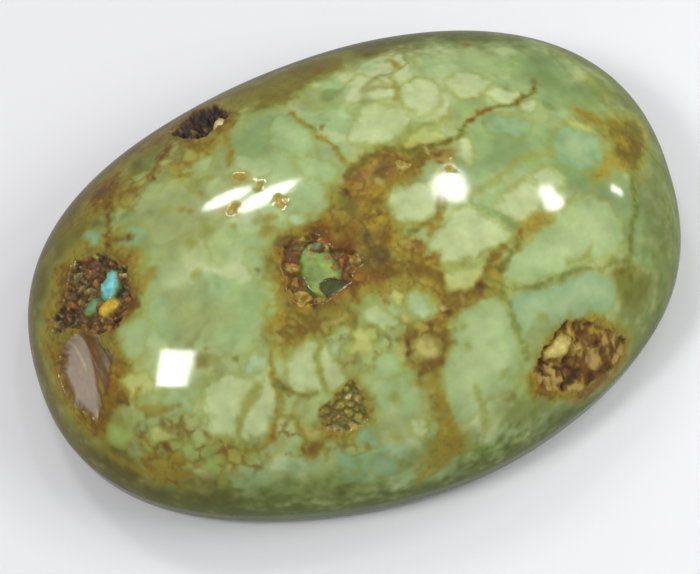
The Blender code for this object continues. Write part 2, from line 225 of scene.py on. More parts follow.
# Matrix: outlines of brown-stained rock on the plan, with colour and strength
MATRIX = [
    ([(-1.2, 1.6), (-0.3, 2.1), (0.3, 2.7), (1.2, 3.1), (2.4, 3.4), (3.4, 3.0), (4.2, 3.1),
      (5.2, 2.6), (5.6, 1.6), (4.9, 1.6), (4.2, 1.7), (3.4, 1.3), (2.3, 1.2), (2.0, 0.2),
      (1.7, -0.9), (1.5, -1.8), (2.3, -2.4), (2.5, -3.2), (3.0, -3.6), (3.2, -4.2), (2.8, -4.9),
      (3.0, -5.6), (4.2, -5.9), (5.1, -5.2), (6.0, -4.6), (6.2, -5.6), (5.4, -6.4), (4.2, -6.5),
      (3.2, -7.0), (2.3, -7.1), (2.2, -8.0), (1.8, -8.9), (0.9, -9.6), (0.1, -9.2), (-0.2, -8.2),
      (-0.3, -7.3), (0.3, -6.9), (1.6, -6.8), (2.2, -6.0), (1.9, -5.1), (0.8, -5.0),
      (-0.2, -4.9), (-1.2, -4.7), (-2.4, -4.9), (-3.1, -4.7), (-3.2, -5.5), (-4.6, -5.6),
      (-5.8, -6.0), (-6.6, -5.4), (-6.4, -4.4), (-5.9, -3.2), (-5.6, -1.8), (-5.4, -0.6),
      (-4.5, 0.3), (-3.3, 0.2), (-2.2, 0.1), (-1.6, 0.8)], "bronze", 0.90),
    ([(-1.0, 1.4), (0.2, 1.9), (1.3, 1.2), (1.4, 0.2), (1.2, -1.2), (0.9, -2.6), (0.6, -3.6),
      (-0.4, -4.2), (-1.6, -3.9), (-2.6, -4.4), (-4.2, -4.6), (-5.3, -3.6), (-5.3, -1.6),
      (-4.7, 0.0), (-3.4, 0.1), (-2.0, 0.0), (-1.4, 0.6)], "amber", 0.80),
    ([(-6.7, -4.9), (-5.9, -3.9), (-4.6, -4.4), (-3.2, -4.9), (-4.4, -5.5), (-5.8, -6.2)],
     "bronze", 0.75),
    ([(-5.6, -9.6), (-4.4, -8.8), (-3.9, -8.1), (-3.3, -8.0), (-2.7, -9.0), (-3.0, -10.3),
      (-4.3, -10.6), (-5.4, -10.2), (-6.4, -10.6), (-6.9, -10.2), (-6.2, -9.9)], "bronze", 0.80),
    ([(-16.0, 4.3), (-14.2, 4.7), (-12.2, 4.4), (-11.6, 2.6), (-11.9, 0.6), (-13.3, -1.1),
      (-13.9, -3.4), (-14.5, -4.6), (-15.2, -5.4), (-16.6, -5.6), (-17.5, -4.0), (-17.9, -1.4),
      (-17.8, 0.9), (-17.2, 2.2), (-16.4, 2.7)], "bronze", 0.85),
    ([(-15.8, 4.0), (-13.2, 4.0), (-12.0, 2.2), (-12.5, -0.2), (-14.0, -1.4), (-14.4, -3.6),
      (-15.3, -5.0), (-16.6, -5.3), (-17.4, -3.2), (-17.6, -0.2), (-17.3, 1.6), (-16.0, 2.4)],
     "brown", 0.75),
    ([(-7.9, 9.7), (-6.8, 10.4), (-5.6, 10.9), (-4.4, 10.6), (-3.9, 9.2), (-4.1, 8.3),
      (-4.9, 7.8), (-6.2, 7.4), (-7.4, 7.9)], "brown", 0.75),
    ([(-11.8, 8.2), (-10.7, 8.5), (-10.8, 7.3), (-10.4, 6.0), (-11.2, 5.6), (-12.2, 6.0),
      (-13.4, 6.0), (-13.2, 7.0)], "amber", 0.70),
    ([(-8.3, 6.9), (-7.3, 6.8), (-7.2, 5.9), (-7.6, 5.5), (-8.3, 5.8)], "gold", 0.75),
    ([(-7.0, 8.3), (-5.9, 7.9), (-5.7, 7.0), (-6.4, 6.2), (-7.0, 6.8)], "amber", 0.75),
    ([(-10.0, 8.7), (-8.4, 9.6), (-6.9, 10.2), (-6.6, 9.4), (-8.2, 8.8)], "brown", 0.70),
    ([(-4.9, 10.9), (-2.2, 10.9), (0.8, 11.2), (3.0, 10.9), (2.2, 9.6), (0.4, 9.3), (-1.4, 8.3),
      (-3.2, 8.2), (-2.8, 9.3), (-4.2, 9.6)], "olive", 0.55),
    ([(8.1, -8.1), (9.6, -8.1), (11.2, -8.6), (12.0, -9.1), (11.8, -9.8), (10.4, -10.6),
      (8.6, -11.3), (7.2, -11.4), (6.1, -11.1), (5.8, -10.4), (6.4, -9.6), (7.3, -9.0)],
     "bronze", 0.90),
    ([(8.2, -10.3), (8.7, -9.8), (9.4, -9.5), (10.8, -9.3), (11.5, -9.5), (11.2, -10.0),
      (9.7, -10.4), (8.6, -10.5)], "amber", 0.80),
    ([(13.5, 3.1), (14.2, 2.8), (14.6, 2.3), (15.2, 2.3), (16.0, 2.5), (16.8, 2.6), (17.1, 1.8),
      (16.7, 0.8), (16.0, -0.2), (15.4, -1.2), (14.8, -0.7), (14.2, -0.6), (13.6, -1.2),
      (12.8, -1.6), (12.7, -1.2), (13.4, -0.5), (14.2, 0.0), (14.5, 0.8), (14.3, 1.6),
      (13.9, 2.2), (13.3, 2.7)], "gold", 0.60),
    ([(14.8, 2.1), (15.8, 2.2), (16.7, 2.3), (16.8, 1.2), (16.3, 0.2), (15.3, -1.0), (14.8, -0.4),
      (14.6, 0.2), (14.9, 0.9), (14.7, 1.5)], "olive", 0.80),
    ([(7.3, -3.9), (7.5, -3.0), (8.6, -2.7), (9.7, -2.8), (9.2, -3.6), (8.0, -4.0)],
     "gold", 0.60),
    ([(-14.8, -7.4), (-13.6, -7.4), (-12.8, -8.4), (-13.4, -9.2), (-14.6, -8.4)],
     "bronze", 0.75),
    ([(-11.3, -8.8), (-10.2, -8.7), (-9.4, -9.6), (-10.4, -9.8)], "bronze", 0.60),
    ([(0.1, -9.2), (0.9, -9.5), (1.1, -10.6), (1.3, -11.8), (1.6, -12.4), (0.2, -12.7),
      (-1.2, -12.9), (-0.2, -12.0), (0.4, -11.0), (0.2, -10.0)], "bronze", 0.55),
]
# Half the width over which matrix fades out, and the reach and strength of its halo
MATRIX_EDGE = 0.32
MATRIX_HALO = 0.95
MATRIX_HALO_STRENGTH = 0.60

# Stains in the matrix, by colour: middle on the plan, half length and half width. All
# lie in one direction, given in degrees.
STAIN_TURN = -19.0
STAIN_STRENGTH = 0.80
STAINS = {
    "gold": [(-4.6, -4.6, 1.2, 0.6), (2.2, 1.8, 0.5, 0.6), (1.2, 0.9, 0.5, 0.6),
             (0.6, -0.9, 0.5, 0.8), (1.1, -2.2, 0.5, 0.6), (3.0, -1.7, 1.0, 0.2),
             (1.7, -4.8, 0.8, 0.4), (-5.5, -4.3, 1.0, 0.4), (-3.7, -9.5, 0.6, 0.5),
             (15.4, 0.9, 0.5, 0.5), (14.9, -0.5, 0.5, 0.3)],
    "bronze": [(3.0, 1.2, 0.5, 0.6), (0.5, -4.5, 0.5, 0.3), (-3.2, -4.4, 0.7, 0.4),
               (-13.0, 3.9, 0.8, 0.4), (-16.9, 2.0, 0.4, 0.5)],
    "amber": [(-4.8, -2.2, 0.3, 0.8), (-0.6, -0.2, 0.6, 0.5), (-15.0, -3.6, 0.4, 0.9)],
    "brown": [(-1.1, -1.0, 0.9, 0.8), (0.2, -2.0, 0.7, 0.8), (0.4, -3.3, 1.1, 0.4),
              (1.5, -4.1, 0.3, 0.4), (2.3, -4.5, 0.4, 0.3), (-1.7, -4.2, 0.2, 0.5),
              (4.7, -5.9, 0.3, 0.4), (-17.3, -1.6, 0.3, 1.2)],
    "copper": [(-1.2, -2.1, 0.5, 0.2), (-1.2, -3.7, 0.5, 0.3), (-0.1, 0.9, 0.3, 0.3),
               (-14.6, -2.4, 0.2, 0.8)],
    "tan": [(0.7, 1.9, 0.8, 0.6), (2.0, 2.2, 0.8, 0.5), (5.2, 1.9, 0.6, 0.5), (2.2, -2.6, 0.3, 0.4),
            (-0.5, -4.2, 0.3, 0.2), (-0.4, -5.2, 0.3, 0.2)],
    "sand": [(1.7, 2.4, 0.4, 0.2), (1.6, 1.4, 0.3, 0.3), (1.7, -2.3, 0.3, 0.5),
             (-6.2, -4.9, 0.3, 0.4), (-4.1, -5.3, 0.2, 0.3)],
    "lime": [(0.4, -5.0, 0.3, 0.3), (13.6, 1.5, 0.4, 0.2)],
    "ochre": [(2.5, -3.8, 0.4, 0.5), (5.6, -5.4, 0.2, 0.4), (3.0, -3.5, 0.3, 0.3)],
    "olive": [(4.1, 2.0, 0.6, 0.3), (-0.5, 0.9, 0.3, 0.7), (-5.0, -4.4, 0.5, 0.2),
              (5.4, -5.1, 0.3, 0.6), (-15.4, -5.2, 0.6, 0.3)],
    "umber": [(-4.3, -0.3, 0.6, 0.3), (-1.6, -0.6, 0.3, 0.2), (0.1, -2.7, 0.6, 0.5),
              (-1.0, -2.6, 0.4, 0.6), (0.0, -3.7, 0.9, 0.4), (-3.5, -3.9, 0.5, 0.2),
              (-4.1, -4.0, 0.2, 0.2), (0.7, -0.6, 0.1, 0.1), (-0.2, -1.5, 0.2, 0.4),
              (3.8, -6.0, 0.3, 0.3), (-15.0, -4.6, 0.4, 0.4), (-11.4, 7.2, 0.2, 0.6)],
}

# Nodules, by colour: outlines on the plan
NODULES = {
    "pale": [
        [(1.5, -0.5), (2.0, 0.4), (3.0, 0.9), (3.9, 0.6), (4.1, -0.9), (3.2, -1.5), (1.6, -1.1)],
        [(4.5, -1.5), (5.5, -1.4), (5.9, -2.3), (7.2, -3.2), (6.6, -4.2), (5.0, -4.5), (3.4, -4.2),
         (3.3, -3.3), (2.5, -2.8), (3.7, -2.1)],
        [(6.9, -1.4), (8.0, -1.1), (9.5, -0.5), (9.3, -2.4), (8.3, -2.7), (7.5, -3.0), (7.1, -2.2)],
        [(9.6, -0.3), (10.6, -0.2), (11.1, -0.7), (11.0, -1.5), (9.9, -1.1)],
        [(10.3, -3.2), (11.0, -2.5), (10.9, -3.2), (10.5, -3.6), (9.4, -3.5)],
        [(-6.1, -6.3), (-5.5, -5.7), (-4.4, -5.8), (-4.8, -6.9), (-4.9, -8.3), (-5.9, -8.1),
         (-6.6, -7.1)],
        [(-4.2, -6.1), (-3.9, -6.6), (-4.0, -7.3), (-3.4, -8.0), (-4.2, -8.4), (-4.8, -8.3),
         (-4.6, -7.0)],
        [(-7.6, -6.7), (-7.1, -7.0), (-7.3, -8.3), (-8.3, -8.8), (-9.7, -9.0), (-9.4, -8.1),
         (-8.4, -7.3)],
        [(-10.4, -5.6), (-9.2, -5.9), (-7.9, -6.6), (-9.2, -7.6), (-10.1, -8.6), (-11.4, -8.1),
         (-10.9, -6.6)],
        [(-2.1, -5.4), (-1.3, -5.2), (-0.6, -5.7), (-0.1, -6.2), (-0.4, -6.6), (-1.6, -5.9)],
        [(2.4, 6.5), (3.6, 5.5), (4.6, 5.3), (4.0, 4.3), (2.6, 3.5), (1.2, 3.9), (1.0, 4.8)],
        [(4.9, 7.0), (6.2, 7.0), (6.6, 5.8), (5.8, 4.5), (4.8, 4.6), (4.3, 6.2)],
        [(7.4, 6.5), (8.6, 6.6), (9.6, 5.4), (7.9, 4.7), (7.2, 5.6)],
        [(8.7, 5.1), (9.5, 5.3), (10.7, 4.6), (10.2, 4.2), (9.0, 4.4)],
        [(10.3, 3.8), (11.3, 4.0), (11.1, 3.3), (10.5, 3.4)],
        [(6.1, 2.5), (6.8, 2.6), (6.9, 2.0), (6.4, 0.7), (5.9, 1.2)],
        [(-1.1, -10.7), (-0.4, -10.9), (-0.3, -11.5), (-1.0, -11.6)],
        [(6.6, -5.7), (7.9, -5.7), (7.5, -6.3), (6.9, -6.2)],
    ],
    "lime": [
        [(3.0, -4.4), (4.9, -4.7), (5.0, -5.2), (4.2, -5.6), (2.9, -5.4)],
        [(-2.9, -6.2), (-2.2, -6.0), (-1.4, -6.4), (-2.0, -7.0), (-3.0, -7.3)],
        [(-14.5, -3.5), (-13.2, -3.9), (-12.9, -5.1), (-13.8, -5.2), (-14.7, -4.3)],
        [(-13.8, -6.5), (-12.9, -6.9), (-13.1, -7.6), (-14.0, -7.0)],
        [(3.7, 3.3), (4.9, 3.7), (5.8, 3.2), (5.1, 2.5), (3.3, 2.6)],
        [(12.4, 2.3), (13.3, 2.2), (14.0, 1.4), (13.5, 1.2), (12.9, 1.6)],
    ],
    "bluish": [
        [(0.9, -5.1), (1.8, -5.3), (1.9, -6.1), (1.4, -6.6), (0.9, -5.9)],
        [(-8.4, -5.4), (-7.6, -5.4), (-7.4, -6.1), (-8.4, -6.0)],
        [(-3.7, 1.4), (-2.9, 0.9), (-3.1, 0.0), (-4.0, 0.5)],
    ],
    "sand": [
        [(0.1, -7.6), (1.2, -7.7), (1.4, -8.5), (0.3, -8.5)],
        [(0.3, -5.9), (0.7, -6.2), (0.3, -6.7)],
        [(-3.7, -5.1), (-3.0, -5.1), (-3.3, -5.6)],
        [(-6.8, -9.4), (-5.8, -9.4), (-5.6, -10.0), (-6.6, -9.9)],
        [(1.3, 1.7), (1.9, 1.5), (1.6, 1.1)],
    ],
    "mint": [
        [(4.4, -6.4), (5.4, -6.6), (5.6, -8.7), (5.0, -10.6), (3.4, -10.7), (1.9, -11.7),
         (1.0, -11.3), (1.0, -9.6), (2.2, -8.2), (2.9, -6.9)],
        [(7.2, -4.5), (9.1, -3.8), (10.7, -2.7), (12.5, -2.4), (13.4, -3.4), (13.2, -5.0),
         (12.0, -5.6), (9.9, -5.7), (8.2, -6.1), (6.1, -5.8), (6.1, -5.0)],
        [(-2.1, -7.7), (-0.9, -7.4), (-0.4, -8.3), (-1.0, -8.9), (-2.3, -8.4)],
        [(-2.3, 4.3), (-1.1, 4.0), (0.1, 2.8), (-0.9, 2.1), (-2.2, 2.9)],
        [(-6.2, 0.0), (-5.5, -0.2), (-5.8, -1.9), (-6.6, -1.4)],
        [(-12.9, -5.3), (-11.6, -5.8), (-11.7, -6.9), (-13.3, -6.2)],
        [(-13.7, -0.8), (-12.5, -1.2), (-12.8, -2.7), (-13.8, -3.0), (-14.2, -1.6)],
        [(-2.6, 7.3), (-1.4, 7.0), (-0.8, 4.6), (-1.8, 4.0), (-3.1, 5.3)],
        [(-8.1, 6.2), (-7.0, 6.2), (-6.0, 6.4), (-7.1, 5.4)],
    ],
    "teal": [
        [(5.7, -6.6), (8.1, -6.6), (10.7, -6.1), (12.0, -6.8), (11.3, -8.2), (9.0, -8.2),
         (7.1, -9.0), (6.0, -9.0), (5.6, -7.6)],
        [(-4.2, -10.6), (-3.1, -10.4), (-2.7, -11.5), (-3.9, -11.0)],
        [(-3.5, -11.6), (-2.3, -11.9), (-2.0, -12.6), (-3.5, -12.2)],
        [(-5.2, -10.8), (-4.4, -11.2), (-4.3, -11.9), (-5.3, -11.4)],
        [(8.0, 2.5), (8.5, 3.4), (10.1, 3.2), (10.7, 2.4), (9.6, 1.9)],
        [(11.1, 0.2), (11.4, 1.3), (12.4, 2.1), (14.1, 1.2), (13.9, 0.1), (13.1, -0.6),
         (12.0, -0.7)],
        [(-12.6, 3.6), (-11.7, 4.2), (-10.7, 3.4), (-11.5, 2.5)],
        [(-13.9, 5.4), (-13.1, 4.6), (-13.5, 3.8), (-14.0, 4.4)],
    ],
    "sage": [
        [(6.2, -8.5), (7.6, -8.8), (6.9, -9.6), (6.2, -9.2)],
        [(-6.7, -8.4), (-6.1, -8.3), (-6.1, -8.9), (-6.7, -8.8)],
        [(-8.3, -9.2), (-7.6, -9.5), (-8.1, -10.1), (-9.2, -9.9)],
        [(-15.4, -4.8), (-14.5, -5.3), (-14.9, -5.7), (-15.6, -5.3)],
        [(-0.2, 8.7), (0.6, 8.5), (0.4, 6.9), (-0.3, 7.3)],
    ],
    "fern": [
        [(-12.6, -7.6), (-12.0, -7.9), (-12.4, -8.7), (-12.9, -8.3)],
        [(-11.7, -8.6), (-11.1, -9.0), (-11.4, -9.6), (-12.0, -9.2)],
        [(-15.9, -5.3), (-14.8, -5.8), (-15.3, -6.7), (-16.2, -6.0)],
    ],
}
# Strength of a nodule's colour, half the width over which it fades out, and the reach
# and strength of the thin rim round it
NODULE_STRENGTH = 0.80
NODULE_EDGE = 0.20
NODULE_RIM = 0.40
NODULE_RIM_STRENGTH = 0.45
# The middle of a nodule is paler by this strength.
NODULE_HEART = 0.45

# Ground that is crumbled to small pale grains with brown joints: middle on the plan,
# half length, half width, direction of the length in degrees and strength
CRUMBLED = [
    ((-12.9, -7.6), 2.6, 1.5, -38, 0.85),
    ((-10.2, -9.5), 2.2, 1.0, -15, 0.75),
    ((-6.9, -9.7), 1.6, 0.9, -10, 0.90),
    ((-4.4, -10.9), 1.8, 0.6, 0, 0.70),
    ((-2.4, -7.0), 1.4, 1.2, 30, 0.55),
    ((0.9, -7.8), 1.2, 2.0, 70, 0.90),
    ((-4.4, -5.2), 2.4, 0.9, -8, 0.80),
    ((-10.8, 6.4), 2.4, 1.2, 30, 0.55),
    ((-7.4, 7.4), 1.6, 1.2, 30, 0.55),
    ((4.2, -5.8), 1.6, 0.8, 20, 0.60),
]
CRUMB_SIZE = 0.95

# Veins: route on the plan, half width, colour and strength
VEINS = [
    ([(-1.3, 7.4), (-0.9, 5.9), (-0.7, 5.3), (0.1, 4.3), (0.1, 3.8), (0.3, 3.2)], 0.07,
     "bronze", 0.90),
    ([(0.1, 2.2), (0.9, 2.7), (2.0, 3.2), (2.9, 3.1), (3.6, 2.5), (4.4, 2.4), (5.4, 2.6),
      (6.0, 2.7)], 0.12, "olive", 0.90),
    ([(5.8, 2.6), (6.5, 2.9), (7.1, 3.4), (7.9, 3.6), (8.8, 3.8), (9.6, 4.0), (10.5, 4.2),
      (11.2, 4.3), (11.6, 4.8), (11.8, 5.4)], 0.09, "olive", 0.95),
    ([(7.4, 3.5), (8.0, 3.6), (8.6, 3.7)], 0.12, "rust", 0.80),
    ([(3.1, 3.1), (3.6, 3.7), (4.5, 3.8), (5.5, 4.0), (6.4, 4.1)], 0.06, "leaf", 0.60),
    ([(4.9, 8.6), (4.5, 7.8), (4.4, 7.0), (4.1, 5.9)], 0.10, "leaf", 0.70),
    ([(4.7, 8.9), (5.0, 8.3)], 0.22, "bronze", 0.70),
    ([(1.6, -1.9), (2.4, -1.8), (3.2, -1.7), (4.0, -1.2), (4.2, -0.4)], 0.12, "olive", 0.75),
    ([(4.0, -1.2), (3.4, -2.0), (2.9, -2.2)], 0.10, "bronze", 0.80),
    ([(5.7, -0.9), (6.6, -0.6), (8.0, 0.0), (9.5, 0.4), (11.0, 0.5)], 0.24, "leaf", 0.50),
    ([(5.8, -1.2), (6.2, -1.9), (7.0, -2.4), (7.6, -3.1)], 0.26, "jade", 0.75),
    ([(2.5, -4.2), (3.6, -4.2), (4.8, -4.1), (5.4, -4.2), (6.2, -4.2), (6.9, -3.9)], 0.10,
     "leaf", 0.80),
    ([(-0.5, -3.5), (0.4, -3.7), (1.3, -4.0), (2.1, -4.2), (2.8, -4.5)], 0.24, "brown", 0.65),
    ([(2.8, -4.5), (2.4, -5.0), (2.8, -5.6), (3.8, -6.0), (4.5, -5.9), (5.1, -5.3), (5.6, -4.6),
      (6.6, -4.2)], 0.14, "brown", 0.60),
    ([(5.2, -5.5), (6.0, -6.2), (7.4, -6.5), (8.3, -6.3), (9.2, -6.2), (10.2, -5.9),
      (12.0, -6.1), (13.0, -5.8)], 0.12, "moss", 0.50),
    ([(6.0, -5.1), (6.6, -4.7), (7.2, -4.3), (7.6, -3.7)], 0.16, "olive", 0.65),
    ([(1.0, -3.5), (1.1, -4.8)], 0.08, "brown", 0.70),
    ([(5.5, -6.4), (5.8, -7.4), (5.8, -8.0), (5.9, -8.8), (5.9, -9.6)], 0.16, "moss", 0.45),
    ([(0.3, -9.1), (0.7, -9.8), (0.7, -10.6), (0.8, -11.5), (1.0, -12.3)], 0.16, "bronze", 0.70),
    ([(2.9, -10.4), (2.9, -11.2), (2.8, -12.0)], 0.26, "leaf", 0.50),
    ([(-4.4, -6.1), (-4.7, -6.9), (-4.85, -7.8), (-4.9, -8.5)], 0.06, "leaf", 0.85),
    ([(-8.2, -6.8), (-9.1, -7.5), (-9.6, -8.2), (-9.9, -9.2)], 0.09, "leaf", 0.75),
    ([(-6.5, -4.7), (-7.1, -5.6), (-7.2, -6.4), (-6.95, -7.1), (-7.15, -8.0), (-7.8, -8.8),
      (-8.5, -9.3)], 0.09, "bronze", 0.80),
    ([(-7.0, -7.1), (-6.3, -7.9), (-5.6, -8.2)], 0.08, "olive", 0.80),
    ([(-2.6, -4.8), (-2.4, -5.6), (-2.6, -6.0)], 0.10, "olive", 0.65),
    ([(-9.6, -9.4), (-8.9, -9.6), (-8.2, -9.3)], 0.12, "bronze", 0.65),
    ([(-7.3, -8.6), (-6.7, -9.2), (-6.6, -9.9)], 0.10, "bronze", 0.60),
    ([(-14.0, -4.6), (-14.4, -5.1), (-14.0, -5.6), (-13.2, -5.9), (-12.4, -6.2)], 0.14,
     "bronze", 0.55),
    ([(-16.4, -5.2), (-16.4, -6.0), (-16.1, -6.7), (-15.5, -7.3), (-14.8, -8.0), (-13.8, -8.6),
      (-12.6, -9.2)], 0.20, "bronze", 0.80),
    ([(-10.6, -8.8), (-10.9, -9.6), (-11.2, -10.2)], 0.13, "leaf", 0.60),
    ([(-11.0, 8.2), (-11.8, 7.1), (-12.3, 6.0), (-12.7, 4.6), (-13.0, 3.3)], 0.20, "brown", 0.85),
    ([(-7.7, 8.9), (-8.5, 7.8), (-9.0, 7.2), (-9.6, 6.4)], 0.26, "brown", 0.90),
    ([(-4.8, 7.9), (-5.2, 6.4), (-5.6, 5.3)], 0.14, "bronze", 0.90),
    ([(-13.1, 4.4), (-12.7, 4.0), (-11.9, 3.6)], 0.14, "brown", 0.70),
    ([(13.5, 3.0), (14.2, 2.6), (14.5, 2.1), (15.0, 1.9), (15.7, 2.0)], 0.14, "bronze", 0.80),
    ([(15.2, -0.8), (14.9, -1.8), (14.5, -2.7), (14.0, -4.3), (13.1, -5.8), (12.9, -6.8)], 0.20,
     "moss", 0.55),
    ([(12.2, -6.4), (12.9, -6.7), (13.3, -6.4)], 0.18, "olive", 0.60),
    ([(9.6, -5.5), (10.6, -5.3), (11.2, -5.0)], 0.11, "leaf", 0.60),
]
# A vein's edges are this soft, and a softer and wider stain of this colour goes along it.
VEIN_SOFTNESS = 0.17
VEIN_STAIN = "leaf"
VEIN_STAIN_REACH = 0.42
VEIN_STAIN_STRENGTH = 0.35

# Specks and small spots, by colour: place on the plan and radius
SPECKS = {
    "umber": [(-0.3, 1.4, 0.2), (0.8, -0.4, 0.1), (5.1, 2.0, 0.1), (4.6, -5.7, 0.2),
              (2.3, -6.6, 0.2), (1.4, -7.0, 0.1), (0.6, -7.1, 0.1), (0.0, -7.3, 0.1),
              (-0.1, -7.8, 0.1), (0.2, -9.1, 0.1), (-5.2, -9.2, 0.3), (-3.9, -9.1, 0.2)],
    "brown": [(5.0, 1.4, 0.1), (-0.2, 5.5, 0.1), (0.5, -8.9, 0.2), (1.3, -8.6, 0.2),
              (-6.2, -10.3, 0.3), (-10.7, -9.1, 0.2), (-13.4, -7.6, 0.2)],
    "rust": [(9.2, 9.0, 0.3), (1.1, 9.9, 0.3), (7.7, -3.5, 0.1), (-8.2, -9.2, 0.2)],
    # The tan and cream specks are partly pale grains and partly painted glints.
    "tan": [(0.4, 1.0, 0.2), (3.6, -6.1, 0.2), (16.9, 1.4, 0.2)],
    "cream": [(2.9, 1.8, 0.15), (4.5, 2.3, 0.1), (5.4, 1.0, 0.15), (2.2, -6.3, 0.1)],
    "gold": [(5.7, -5.4, 0.3), (0.9, -7.1, 0.3), (-13.9, -5.6, 0.3), (14.5, -0.8, 0.4),
             (13.4, -1.0, 0.3)],
    "leaf": [(7.4, -8.2, 0.4), (4.6, -10.1, 0.3), (3.1, -7.5, 0.2), (3.0, -8.4, 0.2),
             (11.0, -5.5, 0.3), (-9.7, -5.0, 0.2), (-6.8, 5.0, 0.2), (-9.6, 3.9, 0.3),
             (-6.5, 1.6, 0.2), (-5.2, 1.4, 0.4), (-7.7, 4.8, 0.3), (-7.9, 1.9, 0.4),
             (-9.0, 1.6, 0.3), (-9.3, -0.4, 0.3), (-1.9, -11.3, 0.3), (-1.5, -9.7, 0.3),
             (6.8, -9.6, 0.4), (8.9, -8.0, 0.3)],
    "olive": [(-10.4, -4.9, 0.3), (-8.6, -5.2, 0.1), (-6.1, -1.3, 0.1), (-12.3, -7.1, 0.2)],
    "bronze": [(-10.0, -4.3, 0.2), (-7.5, 4.4, 0.1), (-8.9, 3.7, 0.2), (-8.4, 3.4, 0.2),
               (-5.0, 0.7, 0.3), (-11.6, 0.9, 0.3), (-5.3, 4.3, 0.5), (-6.2, 2.6, 0.5),
               (-3.9, 2.1, 0.5), (-4.7, 1.4, 0.3), (-13.1, -8.3, 0.3), (-14.3, -6.9, 0.3)],
}
SPECK_STRENGTH = 0.65
SPECK_SOFTNESS = 0.20

# How far markings stray from where they are given, in waves of these lengths
WARPS = {1.6: 0.30, 0.5: 0.15}
# Sizes of the fine and the grainy noise that makes the markings' edges ragged
FINE_NOISE = 0.55
GRAIN_NOISE = 0.24

# The green rock through the whole stone: sizes of its broad and fine clouds, its faint
# nodules, and the clouds of its stained parts, its sage parts and its thin veins
GROUND_BROAD = 4.4
GROUND_FINE = 1.3
GROUND_NODULE = 2.3
GROUND_STAIN = 5.0
GROUND_SAGE = 2.0
GROUND_VEIN = 6.5

# Brown rock gets blotches and pebbles of these sizes, by this share.
BLOTCH_SIZE = 2.0
PEBBLE_SIZE = 0.95
BROWN_GRAIN_SHARE = 0.48

# All the paint is lighter and darker by these shares, in clouds and in fine noise.
SHADE_CLOUD = 1.1
SHADE_SHARE = 0.07
SHADE_FINE_SHARE = 0.02

# The darker band along the girdle, partly the stone's own stain and partly painted shade, by side:
# direction of the side and half its width in degrees, colour, strength, and where it starts and is
# full on the way from the apex
RIM_STAINS_AND_SHADE = [
    (105.0, 80.0, "rim_shaded_brown", 0.92, 0.57, 0.81),
    (185.0, 60.0, "rim_shaded_brown", 0.82, 0.76, 0.97),
    (265.0, 85.0, "rim_shaded_green", 0.85, 0.83, 1.00),
    (10.0, 80.0, "rim_shaded_green", 0.58, 0.62, 0.94),
    (78.0, 50.0, "rim_shaded_green", 0.60, 0.58, 0.84),
]
# Where it starts varies by this share, in clouds of this size.
RIM_MOTTLE = 0.07
RIM_CLOUD = 1.5

# The photograph's camera. It looks from this azimuth and elevation at an aim above the
# base, which is moved left and down in the picture.
CAMERA_AZIMUTH = math.radians(-19.2)
CAMERA_ELEVATION = math.radians(66.0)
CAMERA_DISTANCE = 200.0
CAMERA_LENS = 189.55
CAMERA_SENSOR = 36.0
AIM_HEIGHT = 4.0
AIM_LEFT = 0.57
AIM_DOWN = 1.32
# Nearer to the camera than this nothing is drawn, in metres.
CAMERA_CLIP_START = 0.01

# Lamps that show as highlights: azimuth and elevation of the direction from the stone,
# width and height as seen from there and roll, all in degrees, and the outline
LAMPS = {
    "lamp_left": (-174.9, 54.7, 10.6, 15.7, 54.0, "RECTANGLE"),
    "lamp_far_left": (101.0, 48.3, 8.7, 4.9, -9.0, "ELLIPSE"),
    "lamp_far_right": (93.4, 54.3, 10.1, 5.0, 17.0, "ELLIPSE"),
    "lamp_right_lobe": (49.4, 60.2, 3.6, 4.0, 28.0, "ELLIPSE"),
    "lamp_right_heart": (45.0, 59.5, 3.5, 5.2, 34.0, "ELLIPSE"),
    "lamp_low_upper": (20.9, 46.5, 4.0, 3.4, 62.0, "RECTANGLE"),
    "lamp_low_lower": (15.6, 46.5, 5.7, 4.9, 62.0, "ELLIPSE"),
    "lamp_edge": (11.1, 21.4, 5.6, 1.8, 63.0, "RECTANGLE"),
}
# Their distance is in metres.
LAMP_DISTANCE = 0.40
LAMP_RADIANCE = 19.5
# A soft lamp near the stone, on its right, which no reflection shows: place and width in
# metres
NEAR_PLACE = (0.070, -0.030, 0.080)
NEAR_SIZE = 0.06
NEAR_RADIANCE = 4.2

# The studio's light, from the horizon up: its colours, and the heights where they start
WORLD_HORIZON = (0.32, 0.31, 0.31, 1.0)
WORLD_ZENITH = (0.38, 0.40, 0.44, 1.0)
HORIZON_LEVEL = 0.05
ZENITH_LEVEL = 0.75

# The stone's surface. Where it is sunk by more than a skin's depth, it turns from
# polished to rough, and it is fully so at the rough depth.
POLISHED_ROUGHNESS = 0.09
HOLLOW_ROUGHNESS = 0.60
SKIN_DEPTH = 0.01
ROUGH_DEPTH = 0.10
STONE_IOR = 1.57
STONE_SUBSURFACE = 0.20
SUBSURFACE_RADIUS = (0.4, 0.5, 0.25)
# The flat base counts as sunk by this much, so it is less rough than a hollow.
BASE_SUNK = 0.05
# The unit of its subsurface radii, in metres
SUBSURFACE_SCALE = 0.001
# Noise scales a metre of its mottling and of the grit in its hollows, and the grit's
# height in metres
MOTTLE_SCALE = 2400.0
GRIT_SCALE = 9000.0
GRIT_HEIGHT = 0.00005
GRIT_STRENGTH = 0.45
NOISE_DETAIL = 3.0

# The floor, with half its side in metres
FLOOR_HALF = 1.2
FLOOR_COLOUR = (0.86, 0.85, 0.85, 1.0)
FLOOR_ROUGHNESS = 0.6
FLOOR_SPECULAR = 0.2


def smoothstep(low, high, values):
    """Shares that go smoothly from 0 at low to 1 at high."""
    share = np.clip((values - low) / (high - low), 0.0, 1.0)
    return share * share * (3.0 - 2.0 * share)


